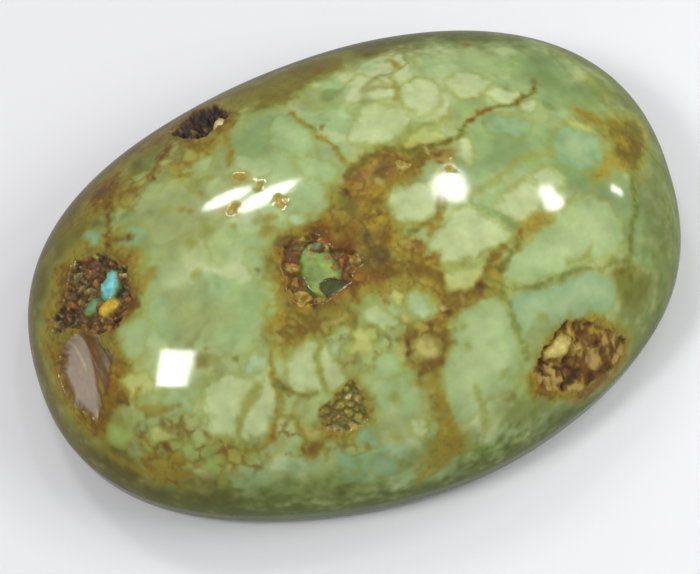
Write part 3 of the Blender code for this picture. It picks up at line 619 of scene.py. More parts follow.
def outline_radius(angles):
    """Distance from the middle to the stone's widest edge, in those directions."""
    along = (np.abs(np.cos(angles)) / HALF_LENGTH) ** OUTLINE_EXPONENT
    across = (np.abs(np.sin(angles)) / HALF_WIDTH) ** OUTLINE_EXPONENT
    radii = (along + across) ** (-1.0 / OUTLINE_EXPONENT)
    for waves, (cosine, sine) in UNEVENNESS.items():
        radii = radii * (1.0 + cosine * np.cos(waves * angles) + sine * np.sin(waves * angles))
    return radii


def dome_height(shares):
    """Height of the dome where the plan radius is this share of the outline's."""
    lift = np.clip(1.0 - shares**DOME_EXPONENT_OUT, 0.0, 1.0) ** (1.0 / DOME_EXPONENT_UP)
    return GIRDLE_HEIGHT + (HEIGHT - GIRDLE_HEIGHT) * lift


def dome_profile():
    """Length along the dome's mean profile, and its share of the outline's radius."""
    shares = 1.0 - (1.0 - np.linspace(0.0, 1.0, PROFILE_ROWS)) ** 3
    out_steps = np.diff(shares * MEAN_RADIUS)
    up_steps = np.diff(dome_height(shares))
    lengths = np.concatenate(([0.0], np.cumsum(np.hypot(out_steps, up_steps))))
    return lengths, shares


PROFILE_LENGTHS, PROFILE_SHARES = dome_profile()
SKIN_STRETCH = PROFILE_LENGTHS[-1] / MEAN_RADIUS


def plan_to_skin(points):
    """Unrolled places of plan points, in which distances run along the dome."""
    points = np.atleast_2d(points).astype(float)
    angles = np.arctan2(points[:, 1], points[:, 0])
    shares = np.hypot(points[:, 0], points[:, 1]) / outline_radius(angles)
    lengths = np.interp(shares, PROFILE_SHARES, PROFILE_LENGTHS) / MEAN_RADIUS
    unrolled = lengths * outline_radius(angles)
    return np.column_stack((unrolled * np.cos(angles), unrolled * np.sin(angles)))


def edge_shares(spots):
    """How far each unrolled place is on the way from the apex to the girdle."""
    angles = np.arctan2(spots[:, 1], spots[:, 0])
    return np.hypot(spots[:, 0], spots[:, 1]) / (outline_radius(angles) * SKIN_STRETCH)


def skin_to_dome(spots):
    """The points of the polished dome at those unrolled places."""
    angles = np.arctan2(spots[:, 1], spots[:, 0])
    lengths = np.minimum(edge_shares(spots), 1.0) * PROFILE_LENGTHS[-1]
    shares = np.interp(lengths, PROFILE_LENGTHS, PROFILE_SHARES)
    radii = shares * outline_radius(angles)
    return np.column_stack((radii * np.cos(angles), radii * np.sin(angles), dome_height(shares)))


def dome_normals(spots):
    """Outward normals of the polished dome, from neighbours along the skin."""
    reach = np.array([0.05, 0.0])
    along_u = skin_to_dome(spots + reach) - skin_to_dome(spots - reach)
    along_v = skin_to_dome(spots + reach[::-1]) - skin_to_dome(spots - reach[::-1])
    normals = np.cross(along_u, along_v)
    return normals / np.linalg.norm(normals, axis=1)[:, None]


def route_distance(spots, route):
    """Distance from each place to a chain of straight stretches."""
    nearest = np.full(len(spots), np.inf)
    for start, end in zip(route, route[1:]):
        span = end - start
        share = np.clip((spots - start) @ span / (span @ span), 0.0, 1.0)
        gap = spots - start - share[:, None] * span
        nearest = np.minimum(nearest, np.hypot(gap[:, 0], gap[:, 1]))
    return nearest


def depth_inside(spots, outline):
    """Distance to a closed outline: positive inside it, negative outside."""
    closed = np.vstack((outline, outline[:1]))
    inside = np.zeros(len(spots), dtype=bool)
    for start, end in zip(closed, closed[1:]):
        spans = (start[1] > spots[:, 1]) != (end[1] > spots[:, 1])
        if spans.any():
            slope = (end[0] - start[0]) / (end[1] - start[1])
            inside ^= spans & (spots[:, 0] < start[0] + (spots[:, 1] - start[1]) * slope)
    return np.where(inside, 1.0, -1.0) * route_distance(spots, closed)


def near(spots, outline, margin):
    """Numbers of the places within the box round an outline, widened by a margin."""
    low = outline.min(axis=0) - margin
    high = outline.max(axis=0) + margin
    return np.flatnonzero(((spots > low) & (spots < high)).all(axis=1))


def cut_corners(bends, closed, rounds=2):
    """The outline or route with its corners cut off in rounds, which rounds them."""
    for _ in range(rounds):
        after = np.roll(bends, -1, axis=0)
        cut = np.stack((0.75 * bends + 0.25 * after, 0.25 * bends + 0.75 * after), axis=1)
        cut = cut.reshape(-1, 2)
        bends = cut if closed else np.vstack((bends[:1], cut[:-2], bends[-1:]))
    return bends


def clouds(places, size, seed, octaves=3):
    """Smooth noise, about -1 to 1, in lumps of that size."""
    offset = Vector([seed * share for share in SEED_SPREAD])
    return np.array([noise.fractal(Vector(place) / size + offset, 1.0, 2.0, octaves)
                     for place in places])


def cells(places, size, seed):
    """Grains of about that size: distance to the nearest joint, and two numbers, 0 to 1,
    that are the same all over a grain."""
    found = []
    for place in places:
        distances, middles = noise.voronoi(Vector(place) / size + Vector((seed, 0, 0)))
        found.append((
            (distances[1] - distances[0]) * size,
            *(0.5 + 0.5 * noise.cell(middles[0] * scale) for scale in CELL_SCALES),
        ))
    return np.array(found).reshape(-1, 3).T


def byte_colour(name):
    """A named colour, as shares of 255."""
    return np.array(PALETTE[name]) / 255.0


def blend_in(paint, colour, shares, where=slice(None)):
    """Moves the paint towards a named colour, by a share for each point."""
    paint[where] += np.clip(shares, 0.0, 1.0)[:, None] * (byte_colour(colour) - paint[where])


def ramp(levels, tones):
    """Colours along a row of named tones, for levels from 0 to 1."""
    table = np.array([byte_colour(tone) for tone in tones])
    steps = np.linspace(0.0, 1.0, len(tones))
    return np.column_stack([np.interp(levels, steps, table[:, band]) for band in range(3)])


def crumb_floor(depth, grain, seed, tones, shelf=1.0):
    """A hollow of broken grains, each with its own height and tone, and joints between them
    darkened as painted shade.

    Near its rim it is only a shelf of this share of its depth.
    """

    def floor(places, spots, inside):
        gap, lift, tone = cells(places, grain, seed)
        small_gap, small_lift, small_tone = cells(places, grain * 0.45, seed + 9.0)
        body = smoothstep(0.0, 0.26, gap)
        small_body = smoothstep(0.0, 0.12, small_gap)
        rise = (0.40 + 0.45 * lift) * body + 0.12 * small_body * small_lift
        reach = shelf + (1.0 - shelf) * smoothstep(0.35, 0.80, inside)
        levels = smoothstep(0.0, 0.25, inside) * depth * reach * (1.0 - rise)
        colours = ramp(0.60 * tone + 0.40 * small_tone, tones)
        # Painted shade: darker in the low joints between the grains
        shade = 0.62 + 0.28 * body + 0.22 * small_body
        return levels, colours * shade[:, None]

    return floor


def ledge_floor(depth, block, seed, tones):
    """Uneven faces of broken rock, with painted shade where they lie deeper near the joints."""

    def floor(places, spots, inside):
        gap, lift, tone = cells(places, block, seed)
        small_gap, small_lift, small_tone = cells(places, block * 0.40, seed + 4.0)
        wave = clouds(places, 0.9, seed)
        edge = smoothstep(0.25, 0.0, gap)
        levels = 0.45 + 0.35 * (lift - 0.5) * (1.0 - edge) + 0.18 * small_lift + 0.40 * wave
        levels = smoothstep(0.0, 0.30, inside) * depth * np.clip(levels, 0.05, 1.1)
        streaks = clouds(places * (2.0, 0.8, 1.0), 1.2, seed + 7.0, 4)
        colours = ramp(0.26 * tone + 0.20 * small_tone + 0.30 + 0.90 * streaks, tones)
        # Painted shade: darker near the joints where the faces lie deeper
        shade = 1.05 - 0.22 * edge * smoothstep(-0.1, 0.3, wave)
        return levels, colours * shade[:, None]

    return floor


def chip_floor(depth, scallops):
    """A smooth chip of scallops, which laid bare a streaky pale crystal in brown rock."""

    def floor(places, spots, inside):
        dish = np.zeros(len(spots))
        for middle, radius in scallops:
            gap = spots - plan_to_skin(middle)
            dish = np.maximum(dish, 1.0 - (gap**2).sum(axis=1) / radius**2)
        ripple = 0.05 * clouds(places, 0.45, 41.0)
        levels = smoothstep(0.0, 0.35, inside) * depth * (0.35 + 0.65 * dish + ripple)
        streaks = clouds(places * (3.2, 0.42, 1.4), 1.0, 42.0)
        colours = ramp(0.5 + 0.6 * streaks, ("bronze", "brown", "ash", "gold"))
        edge = cut_corners(plan_to_skin(CHIP_CRYSTAL), True)
        crystal = depth_inside(spots, edge) + 0.12 * streaks
        pale = ramp(0.5 + 0.60 * streaks, ("ash", "mauve", "mauve", "cream"))
        colours += smoothstep(-0.12, 0.18, crystal)[:, None] * (pale - colours)
        return levels, colours

    return floor


def dished_floor(depth, half_width, tones):
    """A plain dish, darker towards its bottom as painted shade."""

    def floor(places, spots, inside):
        levels = depth * smoothstep(0.0, half_width, inside)
        grit = 0.30 * clouds(places, 0.22, 43.0)
        # Its colour darkens with depth, as painted shade.
        return levels, ramp(levels / depth + grit, tones)

    return floor


LEFT_TONES = ("tan", "rust", "copper", "brown", "umber", "sand", "brown", "rust")
CENTRE_TONES = ("tan", "brown", "copper", "rust", "bronze", "gold", "brown")
DARK_TONES = ("maroon", "rust", "maroon", "umber", "maroon", "bronze", "maroon")
LOWER_TONES = ("sand", "gold", "bronze", "leaf", "gold", "sand", "bronze")
LEDGE_TONES = ("umber", "brown", "brown", "bronze", "tan", "tan")
PIT_TONES = ("sand", "gold", "bronze")
CRACK_TONES = ("bronze", "brown", "umber")

# Each hollow's outline and floor
HOLLOWS = [
    (CENTRE_VUG, crumb_floor(0.36, 0.66, 3.0, CENTRE_TONES)),
    (LEFT_VUG, crumb_floor(0.42, 0.62, 11.0, LEFT_TONES)),
    (DARK_VUG, crumb_floor(1.20, 0.60, 23.0, DARK_TONES, shelf=0.40)),
    (LOWER_VUG, crumb_floor(0.28, 0.50, 31.0, LOWER_TONES)),
    (LEDGE_RIM, ledge_floor(0.30, 1.6, 8.0, LEDGE_TONES)),
    (BROKEN_LEDGE, ledge_floor(0.75, 1.4, 5.0, LEDGE_TONES)),
    (QUARTZ_CHIP, chip_floor(depth=0.65, scallops=QUARTZ_SCALLOPS)),
]


def recesses():
    """Every hollow, pit and crack as (distance inside it, its floor)."""
    found = []
    for outline, floor in HOLLOWS:
        edge = plan_to_skin(outline)
        found.append((lambda spots, edge=edge: depth_inside(spots, edge), floor))
    for middle, radius in PITS.items():
        centre = plan_to_skin(middle)
        found.append((
            lambda spots, centre=centre, radius=radius: radius
            - np.hypot(*(spots - centre).T) + PIT_WOBBLE * np.sin(spots[:, 0] * PIT_WAVES[0])
            * np.cos(spots[:, 1] * PIT_WAVES[1]),
            dished_floor(PIT_DEPTH, radius, PIT_TONES),
        ))
    for route in CRACKS:
        bends = plan_to_skin(route)
        found.append((
            lambda spots, bends=bends: CRACK_HALF_WIDTH - route_distance(spots, bends),
            dished_floor(CRACK_DEPTH, CRACK_HALF_WIDTH, CRACK_TONES),
        ))
    return found


def ellipse_reach(spots, middle, half_length, half_width, turn):
    """0 in the middle of an ellipse, 1 on its edge, more outside."""
    gap = spots - plan_to_skin(middle)
    c, s = math.cos(math.radians(turn)), math.sin(math.radians(turn))
    return np.hypot(gap @ np.array([c, s]) / half_length, gap @ np.array([-s, c]) / half_width)


def paint_ground(places):
    """Green clouds, faint nodules and thin veins of the rock itself, through the stone."""
    broad = clouds(places, GROUND_BROAD, 1.0)
    fine = clouds(places, GROUND_FINE, 2.0, 2)
    paint = ramp(0.56 + 0.50 * broad + 0.60 * fine, ("jade", "mint", "mint", "pale", "pale"))
    gap, tone, other = cells(places, GROUND_NODULE, 5.0)
    inside = smoothstep(0.0, 0.60, gap)
    blend_in(paint, "pale", 0.55 * inside * smoothstep(0.60, 0.85, tone))
    blend_in(paint, "teal", 0.35 * inside * smoothstep(0.35, 0.15, tone))
    blend_in(paint, "fern", 0.40 * inside * smoothstep(0.65, 0.85, other))
    stained = smoothstep(-0.30, 0.35, clouds(places, GROUND_STAIN, 6.0))
    blend_in(paint, "leaf", 0.50 * smoothstep(0.38, 0.0, gap) * stained)
    sage = smoothstep(0.05, 0.45, clouds(places, GROUND_SAGE, 7.0))
    blend_in(paint, "sage", 0.60 * sage)
    vein = np.abs(clouds(places, GROUND_VEIN, 9.0))
    blend_in(paint, "olive", 0.40 * smoothstep(0.07, 0.0, vein) * stained)
    return paint


def paint_rim_stain_and_shade(paint, places, spots, fine):
    """The darker band that the stone has all round, near its widest edge: partly its own stain and
    partly painted shade.
    """
    angles = np.degrees(np.arctan2(spots[:, 1], spots[:, 0]))
    reach = edge_shares(spots) + RIM_MOTTLE * (fine + clouds(places, RIM_CLOUD, 17.0))
    for side, half_width, colour, strength, start, full in RIM_STAINS_AND_SHADE:
        turn = np.abs((angles - side + 180.0) % 360.0 - 180.0)
        share = strength * smoothstep(half_width, 0.4 * half_width, turn)
        blend_in(paint, colour, share * smoothstep(start, full, reach))


def paint_zones(paint, spots):
    """The wide, soft differences of colour."""
    for middle, half_length, half_width, turn, colour, strength in ZONES:
        reach = ellipse_reach(spots, middle, half_length, half_width, turn)
        blend_in(paint, colour, strength * smoothstep(1.25, 0.35, reach))


def paint_matrix(paint, spots, fine, grains):
    """Brown rock with a yellowed halo, and the soft stains in it."""
    ragged = 0.34 * fine + 0.12 * grains
    for outline, colour, strength in MATRIX:
        edge = plan_to_skin(outline)
        where = near(spots, edge, 1.2)
        inside = depth_inside(spots[where], edge) + ragged[where]
        halo = smoothstep(-MATRIX_HALO, 0.1, inside)
        blend_in(paint, "leaf", MATRIX_HALO_STRENGTH * halo, where)
        blend_in(paint, colour, strength * smoothstep(-MATRIX_EDGE, MATRIX_EDGE, inside), where)
    for colour, stains in STAINS.items():
        for x, y, half_length, half_width in stains:
            reach = ellipse_reach(spots, (x, y), half_length, half_width, STAIN_TURN)
            cover = smoothstep(1.45, 0.55, reach + 0.35 * grains)
            blend_in(paint, colour, STAIN_STRENGTH * cover)


def paint_crumbled(paint, places, spots, fine):
    """Small grains, pale and yellow, with brown joints."""
    gap, tone, other = cells(places, CRUMB_SIZE, 19.0)
    joint = smoothstep(0.24, 0.0, gap + 0.10 * fine)
    bright = smoothstep(0.10, 0.40, gap) * smoothstep(0.25, 0.80, tone)
    for middle, half_length, half_width, turn, strength in CRUMBLED:
        reach = ellipse_reach(spots, middle, half_length, half_width, turn)
        here = strength * smoothstep(1.35, 0.55, reach + 0.25 * fine)
        blend_in(paint, "fern", here * 0.35)
        blend_in(paint, "sand", here * 0.60 * bright)
        blend_in(paint, "gold", here * 0.45 * smoothstep(0.55, 0.85, other))
        blend_in(paint, "brown", here * 0.72 * joint)


def paint_nodules(paint, spots, fine, grains):
    """Pale nodules, each with a thin yellowed rim."""
    for colour, outlines in NODULES.items():
        for outline in outlines:
            edge = cut_corners(plan_to_skin(outline), True)
            where = near(spots, edge, 0.6)
            inside = depth_inside(spots[where], edge) + 0.08 * grains[where] + 0.12 * fine[where]
            rim = smoothstep(-NODULE_RIM, -0.05, inside) * smoothstep(0.20, 0.0, inside)
            blend_in(paint, "leaf", NODULE_RIM_STRENGTH * rim, where)
            cover = smoothstep(-NODULE_EDGE, NODULE_EDGE, inside)
            blend_in(paint, colour, NODULE_STRENGTH * cover * (0.96 + 0.25 * fine[where]), where)
            blend_in(paint, "pale", NODULE_HEART * smoothstep(0.0, 1.1, inside), where)


def paint_veins(paint, spots, fine, grains):
    """Narrow veins that thicken and thin, with a soft stain along them."""
    for route, half_width, colour, strength in VEINS:
        bends = cut_corners(plan_to_skin(route), False)
        where = near(spots, bends, 1.0)
        gap = route_distance(spots[where], bends)
        stain = VEIN_STAIN_STRENGTH * smoothstep(VEIN_STAIN_REACH, 0.05, gap)
        blend_in(paint, VEIN_STAIN, stain, where)
        width = half_width * (1.0 + 0.8 * fine[where])
        line = smoothstep(width + VEIN_SOFTNESS, 0.1 * width, gap)
        line *= 0.80 + 0.60 * grains[where] + 0.50 * fine[where]
        blend_in(paint, colour, strength * line, where)


def paint_specks(paint, spots, fine):
    """Small round spots with soft edges."""
    for colour, specks in SPECKS.items():
        for x, y, radius in specks:
            centre = plan_to_skin((x, y))
            where = near(spots, centre, radius + 0.5)
            gap = np.hypot(*(spots[where] - centre).T)
            width = radius * (1.0 + 0.5 * fine[where])
            cover = smoothstep(width + SPECK_SOFTNESS, 0.2 * width, gap)
            blend_in(paint, colour, SPECK_STRENGTH * cover, where)


def paint_brown_grains(paint, places, fine, grains):
    """Gives whatever is already brown its soft blotches, pebbles and small dark specks."""
    brownness = smoothstep(0.18, 0.36, paint[:, 0] - paint[:, 2])
    brownness *= smoothstep(-0.03, 0.10, paint[:, 0] - paint[:, 1])
    gap, tone, _ = cells(places, PEBBLE_SIZE, 13.0)
    body = smoothstep(0.0, 0.35, gap)
    blotches = clouds(places, BLOTCH_SIZE, 12.0)
    levels = 0.56 + 0.85 * blotches + 0.16 * fine + 0.40 * body * (tone - 0.4)
    tones = ramp(levels, ("umber", "brown", "amber", "bronze", "gold", "leaf"))
    paint += BROWN_GRAIN_SHARE * brownness[:, None] * (tones - paint)
    blend_in(paint, "umber", brownness * 0.30 * smoothstep(0.12, 0.0, gap))
    blend_in(paint, "umber", brownness * 0.30 * smoothstep(0.25, 0.60, grains))
    blend_in(paint, "sand", brownness * 0.30 * smoothstep(0.30, 0.65, -grains))


def paint_skin(places, spots):
    """The markings of the polished skin, as colour bytes over 255 for each point."""
    drift = np.zeros_like(spots)
    for number, (size, amount) in enumerate(WARPS.items()):
        drift[:, 0] += amount * clouds(places, size, 20.0 + number)
        drift[:, 1] += amount * clouds(places, size, 30.0 + number)
    warped = spots + drift
    fine = clouds(places, FINE_NOISE, 14.0)
    grains = clouds(places, GRAIN_NOISE, 15.0, 2)
    paint = paint_ground(places + np.column_stack((drift, drift[:, 0])))
    paint_zones(paint, warped)
    # The band along the girdle, partly stain and partly painted shade
    paint_rim_stain_and_shade(paint, places, spots, fine)
    paint_matrix(paint, warped, fine, grains)
    paint_brown_grains(paint, places, fine, grains)
    paint_crumbled(paint, places + np.column_stack((drift, drift[:, 0])), warped, fine)
    paint_nodules(paint, warped, fine, grains)
    paint_veins(paint, warped, fine, grains)
    paint_specks(paint, warped, fine)
    cloud = clouds(places, SHADE_CLOUD, 16.0, 2)
    shade = 1.0 + SHADE_SHARE * cloud + SHADE_FINE_SHARE * fine
    return paint * shade[:, None]


def stand_grains(spots, paint, depths, stray):
    """Lets the named grains and crystals stand up from the hollows' floors, with a darker colour
    round each one's foot that is partly painted shade.
    """
    for number, (outline, top, crown, shaded_flank) in enumerate(GRAINS):
        edge = cut_corners(plan_to_skin(outline), True, rounds=1)
        where = near(spots, edge, 0.5)
        inside = depth_inside(spots[where], edge) + 0.04 + 0.4 * stray[where]
        lean = LEAN_TURN * number
        slope = (spots[where] - edge.mean(axis=0)) @ np.array([math.cos(lean), math.sin(lean)])
        levels = top + TOP_LEAN * slope + FLANK_SLOPE * np.maximum(0.0, -inside)
        levels = np.maximum(levels, LEAST_DEPTH)
        standing = levels < depths[where]
        where, levels, inside = where[standing], levels[standing], inside[standing]
        depths[where] = levels
        # Round the foot of each grain, a darker colour that is partly painted shade
        blend_in(paint, shaded_flank, smoothstep(-FLANK_SHADE_BLEND, -0.02, inside), where)
        blend_in(paint, crown, smoothstep(-0.10, 0.25, inside), where)
        paint[where] *= 1.0 + 1.2 * stray[where][:, None]


def skin_shape(places, spots, paint):
    """Sinks the hollows into the skin, paints their floors, and gives the depths."""
    stray = np.zeros(len(spots))
    for wave, amount in RIM_RAGGEDNESS.items():
        stray += amount * np.array([noise.fractal(Vector((u, v, 0)) / wave, 0.7, 2.0, 3)
                                    for u, v in spots])
    depths = np.zeros(len(spots))
    for inside, floor in recesses():
        within = inside(spots) + stray
        sunk = np.flatnonzero(within > 0.0)
        if not len(sunk):
            continue
        levels, colours = floor(places[sunk], spots[sunk], within[sunk])
        cover = smoothstep(0.0, 0.12, within[sunk])[:, None]
        paint[sunk] += cover * (colours - paint[sunk])
        depths[sunk] = np.maximum(depths[sunk], levels)
    stand_grains(spots, paint, depths, stray)
    depths *= smoothstep(1.0, 1.0 - GIRDLE_FADE, edge_shares(spots))
    return depths


def lattice(step, share):
    """A triangular lattice over the unrolled skin, up to that share of its edge."""
    reach = HALF_LENGTH * SKIN_STRETCH * 1.1
    row_step = step * math.sqrt(3.0) / 2.0
    count = int(reach / row_step)
    rows, columns = np.mgrid[-count:count + 1, -count:count + 1]
    across = columns * step + 0.5 * step * (rows % 2)
    spots = np.column_stack((across.ravel(), (rows * row_step).ravel()))
    return spots[edge_shares(spots) < share]


def girdle_row():
    """Points once round the unrolled skin's edge."""
    angles = 2.0 * math.pi * np.arange(GIRDLE_POINTS) / GIRDLE_POINTS
    radii = outline_radius(angles) * SKIN_STRETCH
    return np.column_stack((radii * np.cos(angles), radii * np.sin(angles)))


def skin_points():
    """The girdle, a lattice over the dome, and a finer one in the hollows."""
    hollows = recesses()
    coarse, fine = lattice(OPEN_STEP, LATTICE_SHARE), lattice(HOLLOW_STEP, LATTICE_SHARE)
    coarse_reach = np.max([hollow[0](coarse) for hollow in hollows], axis=0)
    fine_reach = np.max([hollow[0](fine) for hollow in hollows], axis=0)
    return np.vstack((
        girdle_row(),
        coarse[coarse_reach < -FINE_MARGIN - STEP_CHANGE_GAP],
        fine[fine_reach > -FINE_MARGIN],
    ))


def triangulated(spots):
    """The triangles between the points of a flat set, and the points that they use."""
    flat = [Vector(spot) for spot in spots]
    _, _, faces, origins, _, _ = delaunay_2d_cdt(flat, [], [], 0, 1e-6)
    return faces, np.array([origin[0] for origin in origins])


def dome_surface():
    """Places, paint, depths and faces of the dome, and its edge as point numbers."""
    spots = skin_points()
    faces, order = triangulated(spots)
    spots = spots[order]
    skin = skin_to_dome(spots)
    paint = paint_skin(skin, spots)
    depths = skin_shape(skin, spots, paint)
    places = skin - depths[:, None] * dome_normals(spots)
    number = {origin: index for index, origin in enumerate(order)}
    girdle = [number[index] for index in range(GIRDLE_POINTS)]
    return places, paint, depths, faces, girdle


def wall_share(height):
    """Share of the outline's radius that the low wall has at that height."""
    bevel = BASE_SHARE + (BEVEL_SHARE - BASE_SHARE) * height / BEVEL_HEIGHT
    wall = BEVEL_SHARE + (1.0 - BEVEL_SHARE) * (height - BEVEL_HEIGHT) / (
        GIRDLE_HEIGHT - BEVEL_HEIGHT)
    return bevel if height < BEVEL_HEIGHT else wall


def wall_rings():
    """Rings of points down the wall and the bevel, as places and as unrolled spots."""
    edge = girdle_row()
    outward = edge / np.linalg.norm(edge, axis=1)[:, None]
    rim = skin_to_dome(edge)
    steps = round(GIRDLE_HEIGHT / WALL_STEP)
    for step in range(1, steps + 1):
        height = GIRDLE_HEIGHT * (1.0 - step / steps)
        ring = rim * wall_share(height)
        ring[:, 2] = height
        yield ring, edge + outward * (GIRDLE_HEIGHT - height)


def base_points(ring):
    """Points over the flat base, inside its edge."""
    count = int(HALF_LENGTH / BASE_STEP) + 1
    columns, rows = np.mgrid[-count:count + 1, -count:count + 1]
    flat = np.column_stack((columns.ravel(), rows.ravel())) * BASE_STEP
    angles = np.arctan2(flat[:, 1], flat[:, 0])
    inside = np.hypot(flat[:, 0], flat[:, 1]) < outline_radius(angles) * BASE_SHARE - BASE_STEP
    return np.vstack((ring[:, :2], flat[inside]))


def build_stone():
    """One closed mesh of the dome, the wall and the base, with its paint."""
    places, paint, depths, faces, girdle = dome_surface()
    mesh = bmesh.new()
    verts = [mesh.verts.new(place) for place in places * MM]
    for corners in faces:
        mesh.faces.new([verts[corner] for corner in corners])
    paints = [paint]
    sunk = [depths]
    ring = [verts[index] for index in girdle]
    for ring_places, ring_spots in wall_rings():
        lower = [mesh.verts.new(place) for place in ring_places * MM]
        for index in range(len(ring)):
            after = (index + 1) % len(ring)
            mesh.faces.new((ring[index], lower[index], lower[after], ring[after]))
        paints.append(paint_skin(ring_places, ring_spots))
        sunk.append(np.zeros(len(lower)))
        ring = lower
    base = base_points(ring_places)
    base_faces, order = triangulated(base)
    corner_verts = {}
    inner = []
    for number, origin in enumerate(order):
        if origin < len(ring):
            corner_verts[number] = ring[origin]
        else:
            place = (base[origin][0], base[origin][1], 0.0)
            corner_verts[number] = mesh.verts.new(Vector(place) * MM)
            inner.append(place)
    for corners in base_faces:
        mesh.faces.new([corner_verts[corner] for corner in reversed(corners)])
    paints.append(paint_ground(np.array(inner)))
    sunk.append(np.full(len(inner), BASE_SUNK))
    return mesh, np.vstack(paints), np.concatenate(sunk)


def linear(display):
    """Linear light from display values, by the standard screen curve."""
    return np.where(display <= 0.04045, display / 12.92, ((display + 0.055) / 1.055) ** 2.4)


def store_paint(data, paint, depths):
    """Keeps the colour and the sunk depth of every point, for the material."""
    colours = np.column_stack((linear(np.clip(paint, 0.0, 1.0)), np.ones(len(paint))))
    tint = data.attributes.new("tint", "FLOAT_COLOR", "POINT")
    tint.data.foreach_set("color", colours.astype(np.float32).ravel())
    sunk = data.attributes.new("sunk", "FLOAT", "POINT")
    sunk.data.foreach_set("value", depths.astype(np.float32))


def add_node(tree, kind, **settings):
    node = tree.nodes.new(kind)
    for name, value in settings.items():
        setattr(node, name, value)
    return node


def add_range(tree, source, from_min, from_max, to_min, to_max):
    """A node that maps one range of its source onto another, and holds it there."""
    node = add_node(tree, "ShaderNodeMapRange")
    values = {"From Min": from_min, "From Max": from_max, "To Min": to_min, "To Max": to_max}
    for name, value in values.items():
        node.inputs[name].default_value = value
    tree.links.new(source, node.inputs["Value"])
    return node.outputs["Result"]


def add_noise(tree, source, scale):
    node = add_node(tree, "ShaderNodeTexNoise")
    node.inputs["Scale"].default_value = scale
    node.inputs["Detail"].default_value = NOISE_DETAIL
    tree.links.new(source, node.inputs["Vector"])
    return node.outputs["Fac"]


def stone_material():
    """Polished green stone, with a rough floor wherever the surface is sunk."""
    material = bpy.data.materials.new("variscite_with_matrix")
    material.use_nodes = True
    tree = material.node_tree
    link = tree.links.new
    surface = tree.nodes["Principled BSDF"]
    tint = add_node(tree, "ShaderNodeAttribute", attribute_name="tint")
    sunk = add_node(tree, "ShaderNodeAttribute", attribute_name="sunk")
    where = add_node(tree, "ShaderNodeTexCoord").outputs["Object"]

    mottle = add_noise(tree, where, MOTTLE_SCALE)
    mottled = add_node(tree, "ShaderNodeVectorMath", operation="SCALE")
    link(tint.outputs["Color"], mottled.inputs[0])
    link(add_range(tree, mottle, 0.3, 0.7, 0.95, 1.05), mottled.inputs["Scale"])
    link(mottled.outputs["Vector"], surface.inputs["Base Color"])

    sunk_depth = sunk.outputs["Fac"]
    roughness = add_range(tree, sunk_depth, SKIN_DEPTH, ROUGH_DEPTH, POLISHED_ROUGHNESS,
                          HOLLOW_ROUGHNESS)
    link(roughness, surface.inputs["Roughness"])
    grit = add_noise(tree, where, GRIT_SCALE)
    bump = add_node(tree, "ShaderNodeBump")
    bump.inputs["Distance"].default_value = GRIT_HEIGHT
    strength = add_range(tree, sunk_depth, SKIN_DEPTH, ROUGH_DEPTH, 0.0, GRIT_STRENGTH)
    link(strength, bump.inputs["Strength"])
    link(grit, bump.inputs["Height"])
    link(bump.outputs["Normal"], surface.inputs["Normal"])

    surface.inputs["IOR"].default_value = STONE_IOR
    surface.inputs["Subsurface Weight"].default_value = STONE_SUBSURFACE
    surface.inputs["Subsurface Radius"].default_value = SUBSURFACE_RADIUS
    surface.inputs["Subsurface Scale"].default_value = SUBSURFACE_SCALE
    return material


def add_stone():
    mesh, paint, depths = build_stone()
    mesh.verts.index_update()
    bmesh.ops.recalc_face_normals(mesh, faces=mesh.faces)
    data = bpy.data.meshes.new("polished_stone")
    mesh.to_mesh(data)
    mesh.free()
    store_paint(data, paint, depths)
    data.materials.append(stone_material())
    data.shade_smooth()
    stone = bpy.data.objects.new("polished_stone", data)
    bpy.context.scene.collection.objects.link(stone)
    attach(stone, "root")
    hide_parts(STONE)


def add_floor():
    data = bpy.data.meshes.new("floor")
    corners = ((-1, -1), (1, -1), (1, 1), (-1, 1))
    data.from_pydata([(FLOOR_HALF * x, FLOOR_HALF * y, 0) for x, y in corners], [],
                     [(0, 1, 2, 3)])
    material = bpy.data.materials.new("pale_floor")
    material.use_nodes = True
    surface = material.node_tree.nodes["Principled BSDF"]
    surface.inputs["Base Color"].default_value = FLOOR_COLOUR
    surface.inputs["Roughness"].default_value = FLOOR_ROUGHNESS
    surface.inputs["Specular IOR Level"].default_value = FLOOR_SPECULAR
    data.materials.append(material)
    floor = bpy.data.objects.new("floor", data)
    bpy.context.scene.collection.objects.link(floor)
    # The stone doesn't mirror it, because its light would hide the stain and painted shade along
    # the low rim.
    floor.visible_glossy = False


def add_camera():
    back = Vector((
        math.sin(CAMERA_AZIMUTH) * math.cos(CAMERA_ELEVATION),
        -math.cos(CAMERA_AZIMUTH) * math.cos(CAMERA_ELEVATION),
        math.sin(CAMERA_ELEVATION),
    ))
    right = Vector((math.cos(CAMERA_AZIMUTH), math.sin(CAMERA_AZIMUTH), 0.0))
    up = back.cross(right)
    aim = Vector((0.0, 0.0, AIM_HEIGHT)) - AIM_LEFT * right - AIM_DOWN * up
    data = bpy.data.cameras.new("photo_camera")
    data.lens = CAMERA_LENS
    data.sensor_width = CAMERA_SENSOR
    data.clip_start = CAMERA_CLIP_START
    camera = bpy.data.objects.new("photo_camera", data)
    turn = Matrix((right, up, back)).transposed().to_4x4()
    camera.matrix_world = Matrix.Translation((aim + CAMERA_DISTANCE * back) * MM) @ turn
    bpy.context.scene.collection.objects.link(camera)
    bpy.context.scene.camera = camera


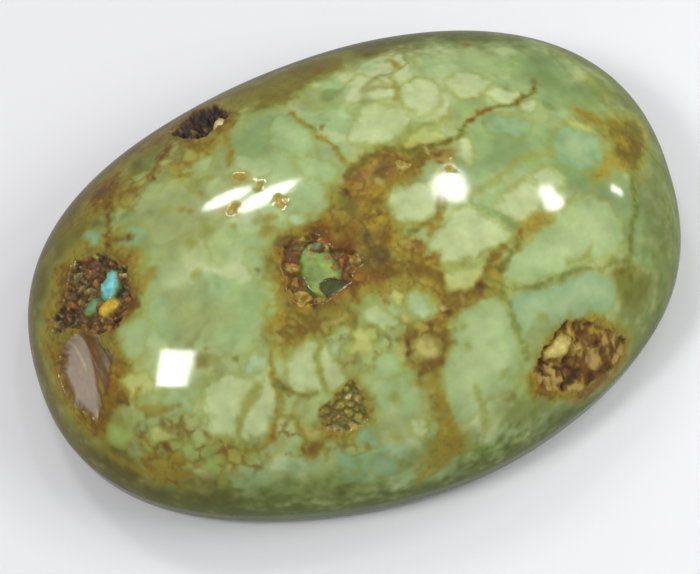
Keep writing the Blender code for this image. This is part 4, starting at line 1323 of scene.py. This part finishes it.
def add_area_lamp(name, place, width, height, roll, shape, radiance):
    """A flat lamp that faces the stone, turned by a roll about its own direction."""
    data = bpy.data.lights.new(name, "AREA")
    data.shape = shape
    data.size = width
    data.size_y = height
    area = width * height * (math.pi / 4.0 if shape == "ELLIPSE" else 1.0)
    data.energy = radiance * math.pi * area
    lamp = bpy.data.objects.new(name, data)
    lamp.location = place
    face = Vector(place).to_track_quat("Z", "Y")
    lamp.rotation_euler = (face @ Quaternion((0.0, 0.0, 1.0), math.radians(roll))).to_euler()
    lamp.visible_camera = False
    bpy.context.scene.collection.objects.link(lamp)
    return lamp


def add_lamps():
    for name, (azimuth, elevation, width, height, roll, shape) in LAMPS.items():
        a, e = math.radians(azimuth), math.radians(elevation)
        away = Vector((math.cos(a) * math.cos(e), math.sin(a) * math.cos(e), math.sin(e)))
        spans = [2.0 * LAMP_DISTANCE * math.tan(math.radians(span) / 2.0)
                 for span in (width, height)]
        add_area_lamp(name, away * LAMP_DISTANCE, *spans, roll, shape, LAMP_RADIANCE)
    near_lamp = add_area_lamp("near", NEAR_PLACE, NEAR_SIZE, NEAR_SIZE, 0.0, "ELLIPSE",
                              NEAR_RADIANCE)
    near_lamp.visible_glossy = False


def add_world():
    """A studio that is a little brighter overhead than round the horizon."""
    world = bpy.data.worlds.new("studio")
    world.use_nodes = True
    tree = world.node_tree
    link = tree.links.new
    where = add_node(tree, "ShaderNodeTexCoord")
    split = add_node(tree, "ShaderNodeSeparateXYZ")
    link(where.outputs["Generated"], split.inputs["Vector"])
    blend = add_node(tree, "ShaderNodeValToRGB")
    blend.color_ramp.elements[0].position = HORIZON_LEVEL
    blend.color_ramp.elements[0].color = WORLD_HORIZON
    blend.color_ramp.elements[1].position = ZENITH_LEVEL
    blend.color_ramp.elements[1].color = WORLD_ZENITH
    link(split.outputs["Z"], blend.inputs["Fac"])
    link(blend.outputs["Color"], tree.nodes["Background"].inputs["Color"])
    bpy.context.scene.world = world


add_stone()
add_floor()
add_camera()
add_lamps()
add_world()
bpy.context.scene.view_settings.view_transform = "Standard"
